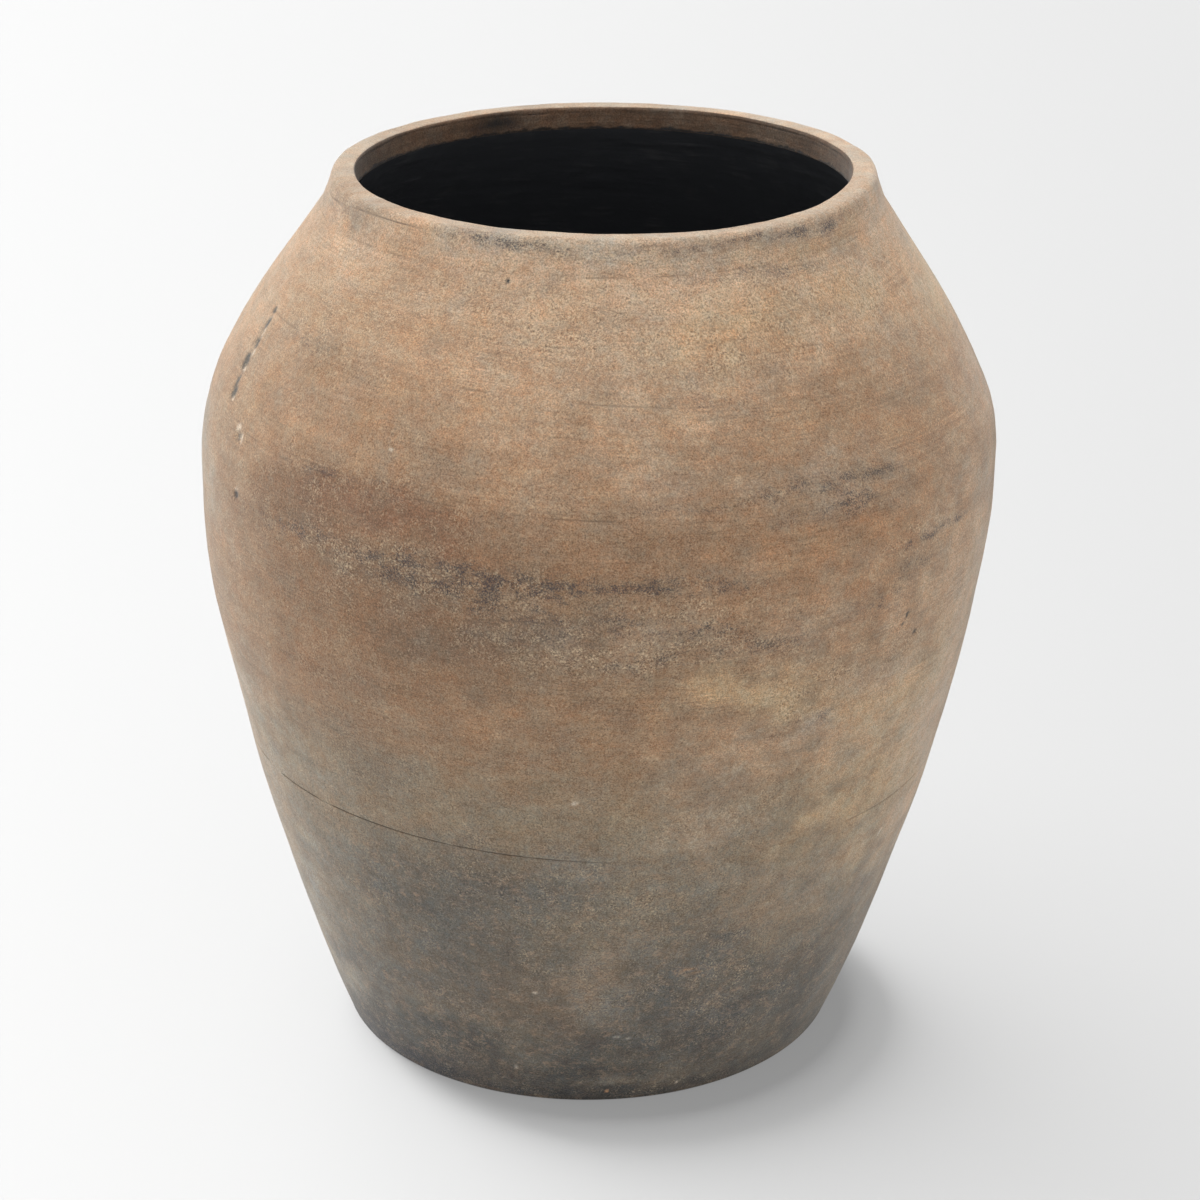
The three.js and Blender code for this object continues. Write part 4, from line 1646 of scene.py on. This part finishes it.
@dataclass
class FootSlab(TurnedPiece):
    """The flat disc that the urn stands on, with a worn heel."""

    heel: float = 0.002
    under_rows: int = 40
    heel_rows: int = 5
    edge_rows: int = 12
    floor_rows: int = 7

    def section(self) -> Section:
        """Underside from the middle out, heel, margin, groove and upper face back to the middle.

        Returns:
            the closed outline.
        """
        form = self.form
        start = form.foot_radius - self.heel
        turn = np.linspace(0.0, math.pi / 2, self.heel_rows + 2)[1:-1]
        across = start + (float(form.radius(self.heel)) - start) * np.sin(turn)
        up = self.heel * (1 - np.cos(turn))
        pen = SectionPen()
        pen.add(np.linspace(0.0, start, self.under_rows), 0.0, share=0.3)
        pen.add(across, up, (np.sin(turn), -np.cos(turn)), 0.5, 1.0)
        edge = close_rows(self.heel, form.slab_top, self.edge_rows, (form.slab_top,))
        self.draw_outer(pen, edge, False)
        pen.add(form.inside(form.slab_top, 0.5), form.slab_top - form.key_depth)
        pen.add(form.inside(form.slab_top), form.slab_top, corner_first=True)
        floor = np.linspace(float(form.inside(form.slab_top)), 0.0, self.floor_rows + 1)[1:]
        pen.add(floor, form.slab_top)
        return pen.done(poles=True)


@dataclass
class LipRing(TurnedPiece):
    """The lip: throat, leaning face, level land with soft edges, collar face and undercut."""

    # Points along the throat, face, outer edge, land, inner edge, collar face and undercut
    counts: tuple[int, ...] = (26, 9, 12, 13, 10, 24, 6)
    lip: float = 0.0127
    face: float = 0.008
    flare: float = 0.0024
    throat_round: float = 0.003
    outer_round: float = 0.0042
    inner_round: float = 0.0018
    # How far the front of the lip sags on the right, and the angles round which it does
    sag: float = 0.0017
    sag_middle: float = 38.0
    sag_reach: float = 36.0
    settling: float = 0.0004
    # The crack's depth and half its width, and the wear of the land
    crack_depth: float = 0.0004
    crack_width: float = 0.0004
    wear: float = 0.00016
    # A dark smudge on the collar face: its angle and height, and how far it reaches
    smudge: Station = (207.0, 0.4935)
    smudge_reach: Station = (7.5, 0.006)
    # The collar face's ragged dark lower edge: its height, and how softly it ends
    ragged: float = 0.4886
    ragged_fade: float = 0.0012
    # What varies the settling, the wear and the tone
    settled: Mottle = Mottle(0.05, 61, 2)
    wearing: Mottle = Mottle(0.011, 64)
    patches: Mottle = Mottle(0.014, 62)
    fine: Mottle = Mottle(0.0035, 65)
    streaks: Mottle = Mottle(0.002, 63, 2, along=12.0)
    # How bright the collar face is painted round the pot, darker towards the sides: painted shade and
    # dirt together
    lit_and_clean: tuple[Station, ...] = (
        (80, 0.6), (110, 0.56), (140, 0.62), (165, 0.72), (186, 0.95), (198, 1.0), (210, 0.95),
        (222, 0.95), (240, 0.68), (255, 0.5), (280, 0.5),
    )
    # The crack that runs under the land inside, painted dark with shade in the crack and dirt, and how
    # strongly it shows
    crack: tuple[Station, ...] = (
        (95, 0.4974), (150, 0.4976), (198, 0.4968), (208, 0.4972), (235, 0.4984), (251, 0.4970),
        (267, 0.4984),
    )
    crack_strength: tuple[Station, ...] = (
        (80, 0.1), (95, 0.7), (140, 0.7), (155, 0.2), (180, 0.2), (198, 0.8), (225, 0.6), (262, 0.8),
        (285, 0.1),
    )
    # The dark of dirt, and of the painted shade in the crack
    grime_and_crack_shade: Colour = reflectance(30, 27, 25)

    def rise(self, grid: Grid) -> Array:
        """Draws the lip down towards the neck where it sags, and a little all round."""
        neck, top = self.form.neck_joint, self.form.rim_top
        drop = self.sag * hump(apart(grid.angle, self.sag_middle) / self.sag_reach)
        drop = drop + self.settling * (1.0 + self.settled.at(grid.places))
        return -drop * eased((grid.height - neck) / (top - neck))

    def inner(self, grid: Grid) -> Array:
        """1 on the collar face inside the mouth, and 0 elsewhere."""
        near = grid.radius < self.form.mouth + 0.4 * self.inner_round
        return near * (grid.raised > 0.5) * 1.0

    def relief(self, grid: Grid) -> Array:
        """As outside, with a worn land, and with the crack inside cut into the collar face."""
        worn = self.wear * self.wearing.at(grid.places)
        near = hump((grid.height - round_pot(grid.angle, self.crack)) / self.crack_width)
        cut = self.crack_depth * near * round_pot(grid.angle, self.crack_strength) * self.inner(grid)
        return super().relief(grid) + (worn - cut) * grid.raised

    def looks(self, grid: Grid) -> Looks:
        """As outside, but brown inside the mouth, with painted shade and dirt darkening it towards the
        sides, and black along its crack, where painted shade lies with the dirt, and along its lower
        edge.

        Args:
            grid: the points.

        Returns:
            their colour, flecks, soot, lines and fur.
        """
        looks = super().looks(grid)
        angle, height, places = grid.angle, grid.height, grid.places
        inner = self.inner(grid)
        patchy, fine = self.patches.at(places), self.fine.at(places)
        streak = self.streaks.at(places)
        brown = mixed(RUST.colour + 0.0 * looks.colour, UMBER.colour, 0.4 * eased(0.5 + patchy))
        # Painted shade and dirt: the collar face darkens round the pot, most towards the sides
        kept = round_pot(angle, self.lit_and_clean) * (1.0 + 0.3 * patchy + 0.2 * streak + 0.15 * fine)
        colour = mixed(looks.colour, brown * kept[..., None], inner * 0.96)
        # Painted shade in the crack, with dirt: black along the crack under the land
        crack = hump((height - round_pot(angle, self.crack)) / self.crack_width)
        crack = crack * round_pot(angle, self.crack_strength) * eased(0.6 + 1.2 * patchy + 0.9 * fine)
        across = apart(angle, self.smudge[0]) / self.smudge_reach[0]
        smudge = hump(np.hypot(across, (height - self.smudge[1]) / self.smudge_reach[1]))
        ragged = eased((self.ragged - height) / self.ragged_fade + 0.9 * fine + 0.5 * patchy)
        dark = np.clip(np.maximum(np.maximum(crack, smudge), ragged), 0.0, 1.0) * inner
        colour = mixed(colour, np.array(self.grime_and_crack_shade), 0.9 * dark)
        soot = np.where(inner > 0.0, 0.15 + 0.3 * dark, looks.soot)
        line = np.where(inner > 0.0, 0.0, looks.line)
        fleck = np.where(inner > 0.0, 0.2 * looks.fleck, looks.fleck)
        return Looks(colour, fleck, soot, line, looks.fur)

    def section(self) -> Section:
        """Up the throat and face, over the land, down the collar face and back under it.

        Returns:
            the closed outline.
        """
        form = self.form
        top = form.rim_top
        outer = form.mouth + self.lip
        throat, face, edge, land, arris, collar, undercut = self.counts
        face_low = top - self.face
        face_foot = outer + self.flare
        lean = math.atan2(self.flare, self.face)
        share = np.linspace(0.0, 1.0, throat)
        rest = 1.0 - share
        bend = face_foot + self.throat_round * math.tan(lean)
        throat_radius = rest**2 * form.neck_radius + 2 * rest * share * bend + share**2 * face_foot
        throat_height = (
            rest**2 * form.neck_joint
            + 2 * rest * share * (face_low - self.throat_round)
            + share**2 * face_low
        )
        run = np.gradient(throat_radius), np.gradient(throat_height)
        long = np.hypot(*run)
        pen = SectionPen()
        pen.seen(throat_radius, throat_height, (run[1] / long, -run[0] / long), True)
        edge_low = top - self.outer_round * (1 - math.sin(lean))
        rise = np.linspace(face_low, edge_low, face)[1:-1]
        slant = outer + self.flare * (top - rise) / self.face
        pen.seen(slant, rise, (math.cos(lean), math.sin(lean)))
        turn = np.linspace(lean, math.pi / 2, edge)
        middle = outer - self.outer_round * (1 - math.sin(lean)) / math.cos(lean)
        across, up = middle + self.outer_round * np.cos(turn), top - self.outer_round * (1 - np.sin(turn))
        pen.seen(across, up, (np.cos(turn), np.sin(turn)))
        pen.seen(np.linspace(middle, form.mouth + self.inner_round, land)[1:-1], top, (0.0, 1.0))
        turn = np.linspace(0.0, math.pi / 2, arris)
        across, up = (self.inner_round * (1 - part) for part in (np.sin(turn), np.cos(turn)))
        pen.seen(form.mouth + across, top - up, (-np.sin(turn), np.cos(turn)))
        low = top - form.collar_face
        fall = np.linspace(top - self.inner_round, low, collar)[1:]
        pen.seen(form.mouth, fall, (-1.0, 0.0), corner_last=True)
        foot = form.neck_joint + form.seat_gap
        back = np.linspace(0.0, 1.0, undercut)[1:]
        inner = float(form.inside(form.neck_joint))
        pen.add(form.mouth + (inner - form.mouth) * back, low + (foot - low) * back, corner_last=True)
        pen.add(form.inside(form.neck_joint, 0.5), foot - form.key_depth)
        return pen.done()


@dataclass
class SealCoat(TurnedPiece):
    """The black sealer brushed over the inside, from the collar's lower arris to the floor."""

    thickness: float = 0.001
    gap: float = 0.00035
    feather: float = 0.005
    hidden_rows: int = 12
    seen_rows: int = 120
    fillet_rows: int = 7
    # How much closer together its rows lie near the neck
    row_power: float = 1.6
    # The brush's ridges and beads, and where dried lumps stand out, as angles and heights
    brushing: Mottle = Mottle(0.0045, 71, 2, along=9.0)
    beading: Mottle = Mottle(0.010, 72)
    ridge: float = 0.00016
    bead: float = 0.0004
    lump: float = 0.0009
    lump_reach: Station = (1.5, 0.0022)
    lumps: tuple[Station, ...] = ((181.5, 0.449), (185.5, 0.455), (221.5, 0.467))

    def relief(self, grid: Grid) -> Array:
        """Brush ridges along the turning and dried lumps, on the seen face only, never downwards.

        Args:
            grid: the points.

        Returns:
            how far each point stands out of the seen face, in metres.
        """
        ridges = self.ridge * (1.0 + self.brushing.at(grid.places))
        lumps = self.bead * eased(self.beading.at(grid.places) * 2.0 - 0.7)
        wide, tall = self.lump_reach
        for angle, height in self.lumps:
            there = np.hypot(apart(grid.angle, angle) / wide, (grid.height - height) / tall)
            lumps = lumps + self.lump * hump(there)
        return (ridges + lumps) * grid.raised

    def face(self, offset: float, count: int) -> tuple[Array, Array]:
        """One face of the coat from the neck down the wall, round the fillet and over the floor.

        Args:
            offset: how far the face lies from the clay.
            count: how many rows it has down the wall.

        Returns:
            radii and heights from the neck to the middle of the floor.
        """
        form = self.form
        turn, top, middle = form.fillet_fit
        down = np.linspace(0.0, 1.0, count) ** self.row_power
        fall = form.neck_joint - (form.neck_joint - top) * down
        radius = form.fillet - offset
        arc = np.linspace(turn, 0.0, self.fillet_rows + 1)[1:] - math.pi / 2
        floor = np.linspace(middle, 0.0, count // 3)[1:]
        level = np.full(len(floor), form.slab_top + offset)
        radii = [form.inside(fall, 1.0, offset), middle + radius * np.cos(arc), floor]
        heights = [fall, form.slab_top + form.fillet + radius * np.sin(arc), level]
        return np.concatenate(radii), np.concatenate(heights)

    def section(self) -> Section:
        """Outside up from the middle of the floor, the feathered edge, and inside back down.

        Returns:
            the closed outline.
        """
        form = self.form
        outside = self.face(self.gap, self.hidden_rows)
        inside = self.face(self.gap + self.thickness, self.seen_rows)
        neck = float(form.inside(form.neck_joint))
        arris = form.rim_top - form.collar_face
        edge = arris - form.seat_gap
        undercut = (neck - form.mouth) / (arris - form.neck_joint)
        reach = self.gap * math.hypot(1.0, undercut)
        pen = SectionPen()
        pen.add(outside[0][::-1], outside[1][::-1])
        pen.add(neck - undercut * (edge - form.neck_joint) - reach, edge, corner_first=True)
        full = inside[1] <= edge - self.feather
        pen.seen(inside[0][full], inside[1][full], (-1.0, 0.0))
        return pen.done(poles=True)


@dataclass
class Studio:
    """A pale sheet on the floor, soft light, and a camera at the portrait's viewing angle.

    The sheet is lit by low washes of its own and glows a little, as paper on a light table does.
    Only the foot slab stops the washes, so the shadow stays short and close to the foot.
    """

    camera_place: tuple[float, float, float] = (0.0013, -1.5855, 0.9049)
    camera_down: float = 22.62
    lens: float = 89.81
    sensor: float = 36.0
    sheet_reach: float = 9.0
    sheet_gap: float = 0.0002
    sheet_tone: float = 0.125
    sheet_glow: float = 0.245
    # How far the painted fall-off of light darkens the sheet to the right, within what limits, and the
    # least distance that counts
    painted_light_falloff: float = 0.41
    sheet_extremes: Station = (0.9, 1.1)
    nearest: float = 0.7
    sky: float = 0.7
    key: float = 2.6
    key_angles: tuple[float, float] = (157.0, 64.5)
    key_spread: float = 50.0
    # The washes' powers, bearings, heights over the horizon and spreads
    washes: tuple[tuple[float, float, float, float], ...] = (
        (58.0, 128.0, 5.0, 26.0),
        (20.0, 122.0, 16.0, 60.0),
    )

    def build(self) -> None:
        """Sets up all of it but the washes, which need the foot slab."""
        scene = bpy.context.scene
        scene.view_settings.view_transform = "Standard"
        self.add_camera(scene)
        self.sheet = self.add_sheet()
        self.add_sky(scene)
        self.add_lamp("key", self.key, self.key_angles, self.key_spread)

    def add_camera(self, scene: bpy.types.Scene) -> None:
        """Adds the camera, level across and tipped down.

        Args:
            scene: the scene that it serves.
        """
        data = bpy.data.cameras.new("portrait")
        data.sensor_width = self.sensor
        data.lens = self.lens
        camera = placed("portrait", data)
        camera.location = self.camera_place
        camera.rotation_euler = (math.radians(90.0 - self.camera_down), 0.0, 0.0)
        scene.camera = camera

    def add_sheet(self) -> bpy.types.Object:
        """Adds one large pale sheet, a hair under the foot so that the two never share a plane.

        Returns:
            the sheet.
        """
        reach, low = self.sheet_reach, -self.sheet_gap
        corners = [(x * reach, y * reach, low) for x, y in ((-1, -1), (1, -1), (1, 1), (-1, 1))]
        mesh = bpy.data.meshes.new("sheet")
        mesh.from_pydata(corners, [], [(0, 1, 2, 3)])
        sheet = placed("sheet", mesh)
        mesh.materials.append(self.paper())
        return sheet

    def paper(self) -> Material:
        """The sheet's finish, with a painted fall-off of light, brighter on the left, and clear from
        below.

        The painted light falls with the distance to the right over the distance from the viewer, so
        that it falls evenly across the portrait.

        Returns:
            the material.
        """
        paper = new_material("pale_paper")
        graph = Graph(paper)
        place = graph.object_place()
        down = math.radians(self.camera_down)
        ahead = graph.plus(graph.part(place, "Y"), math.cos(down), self.camera_depth())
        ahead = graph.math("MAXIMUM", ahead, self.nearest)
        # Painted fall-off of light: the sheet's colour and glow darken to the right
        fall = graph.plus(graph.math("DIVIDE", graph.part(place, "X"), ahead), -self.painted_light_falloff, 1.0)
        least, most = self.sheet_extremes
        fall = graph.math("MINIMUM", graph.math("MAXIMUM", fall, least), most)
        values = {
            "Base Color": graph.product(fall, self.sheet_tone),
            "Emission Color": fall,
            "Emission Strength": self.sheet_glow,
            "Roughness": 1.0,
            "Specular IOR Level": 0.0,
        }
        graph.dress(values)
        graph.clear_from_behind()
        return paper

    def camera_depth(self) -> float:
        """How far the urn's middle lies along the camera's view."""
        down = math.radians(self.camera_down)
        _, back, up = self.camera_place
        return -back * math.cos(down) + up * math.sin(down)

    def add_sky(self, scene: bpy.types.Scene) -> None:
        """Adds even white light from all round.

        Args:
            scene: the scene that it lights.
        """
        world = bpy.data.worlds.new("sky")
        scene.world = world
        world.use_nodes = True
        backdrop = world.node_tree.nodes["Background"]
        backdrop.inputs["Color"].default_value = (1.0, 1.0, 1.0, 1.0)
        backdrop.inputs["Strength"].default_value = self.sky

    def add_lamp(self, name: str, power: float, angles: Station, spread: float) -> bpy.types.Object:
        """Adds a broad far lamp.

        Args:
            name: what to call it.
            power: watts on each square metre that faces it.
            angles: its bearing, in degrees from +X towards +Y, and its height over the horizon.
            spread: how wide it is, in degrees.

        Returns:
            the lamp.
        """
        data = bpy.data.lights.new(name, "SUN")
        data.energy = power
        data.angle = math.radians(spread)
        lamp = placed(name, data)
        bearing, rise = angles
        lamp.rotation_euler = (math.radians(90.0 - rise), 0.0, math.radians(bearing + 90.0))
        return lamp

    def add_washes(self, foot: bpy.types.Object) -> None:
        """Adds the sheet's own low light, which only the foot slab stops.

        Args:
            foot: the foot slab.
        """
        lit = bpy.data.collections.new("lit_by_wash")
        lit.objects.link(self.sheet)
        stopping = bpy.data.collections.new("stops_wash")
        stopping.objects.link(foot)
        for number, (power, bearing, rise, spread) in enumerate(self.washes, 1):
            lamp = self.add_lamp(f"wash_{number}", power, (bearing, rise), spread)
            lamp.light_linking.receiver_collection = lit
            lamp.light_linking.blocker_collection = stopping


def pieces(form: UrnForm, skin: Skin) -> list[TurnedPiece]:
    """Every piece of the urn, from the foot up.

    Args:
        form: the urn's turned form.
        skin: its outer face.

    Returns:
        the seven pieces.
    """
    shared = (form, skin)
    smoked = ("smoked_clay", *shared, FiredClay("smoked_clay"))
    baked = ("baked_clay", *shared, FiredClay("baked_clay"))
    worn = ("worn_clay", *shared, FiredClay("worn_clay"))
    black = ("black_seal", *shared, BlackSeal("black_seal"))
    lower = {"low": form.slab_top, "high": form.lower_joint, "rows": 104, "lines": (0.150,)}
    belly = {"low": form.lower_joint, "high": form.belly_joint, "rows": 96}
    shoulder = {"low": form.belly_joint, "high": form.shoulder_joint, "rows": 84}
    collar = {"low": form.shoulder_joint, "high": form.neck_joint, "rows": 64}
    belly["lines"] = (0.2028, 0.2150, 0.2446, 0.2705)
    shoulder["lines"] = (0.3757, 0.3780, 0.3885)
    return [
        FootSlab("foot", "foot_slab", *smoked, strips=4),
        LowerWall("lower_ring", "lower_wall", *smoked, **lower),
        WallRing("belly_ring", "belly_wall", *baked, **belly),
        WallRing("shoulder_ring", "shoulder_wall", *baked, strips=4, **shoulder),
        WallRing("collar_ring", "collar_wall", *baked, strips=4, **collar),
        LipRing("lip", "lip_ring", *worn, strips=4),
        SealCoat("seal_coat", "interior_seal_coat", *black, columns=420, strips=2),
    ]


def main() -> None:
    """Builds the studio and every piece of the urn."""
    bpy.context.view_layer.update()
    studio = Studio()
    studio.build()
    form = UrnForm()
    built = [piece.build() for piece in pieces(form, Skin(form))]
    studio.add_washes(built[0])


if __name__ == "__main__":
    logging.basicConfig(level=logging.INFO, format="%(name)s: %(message)s")
    main()
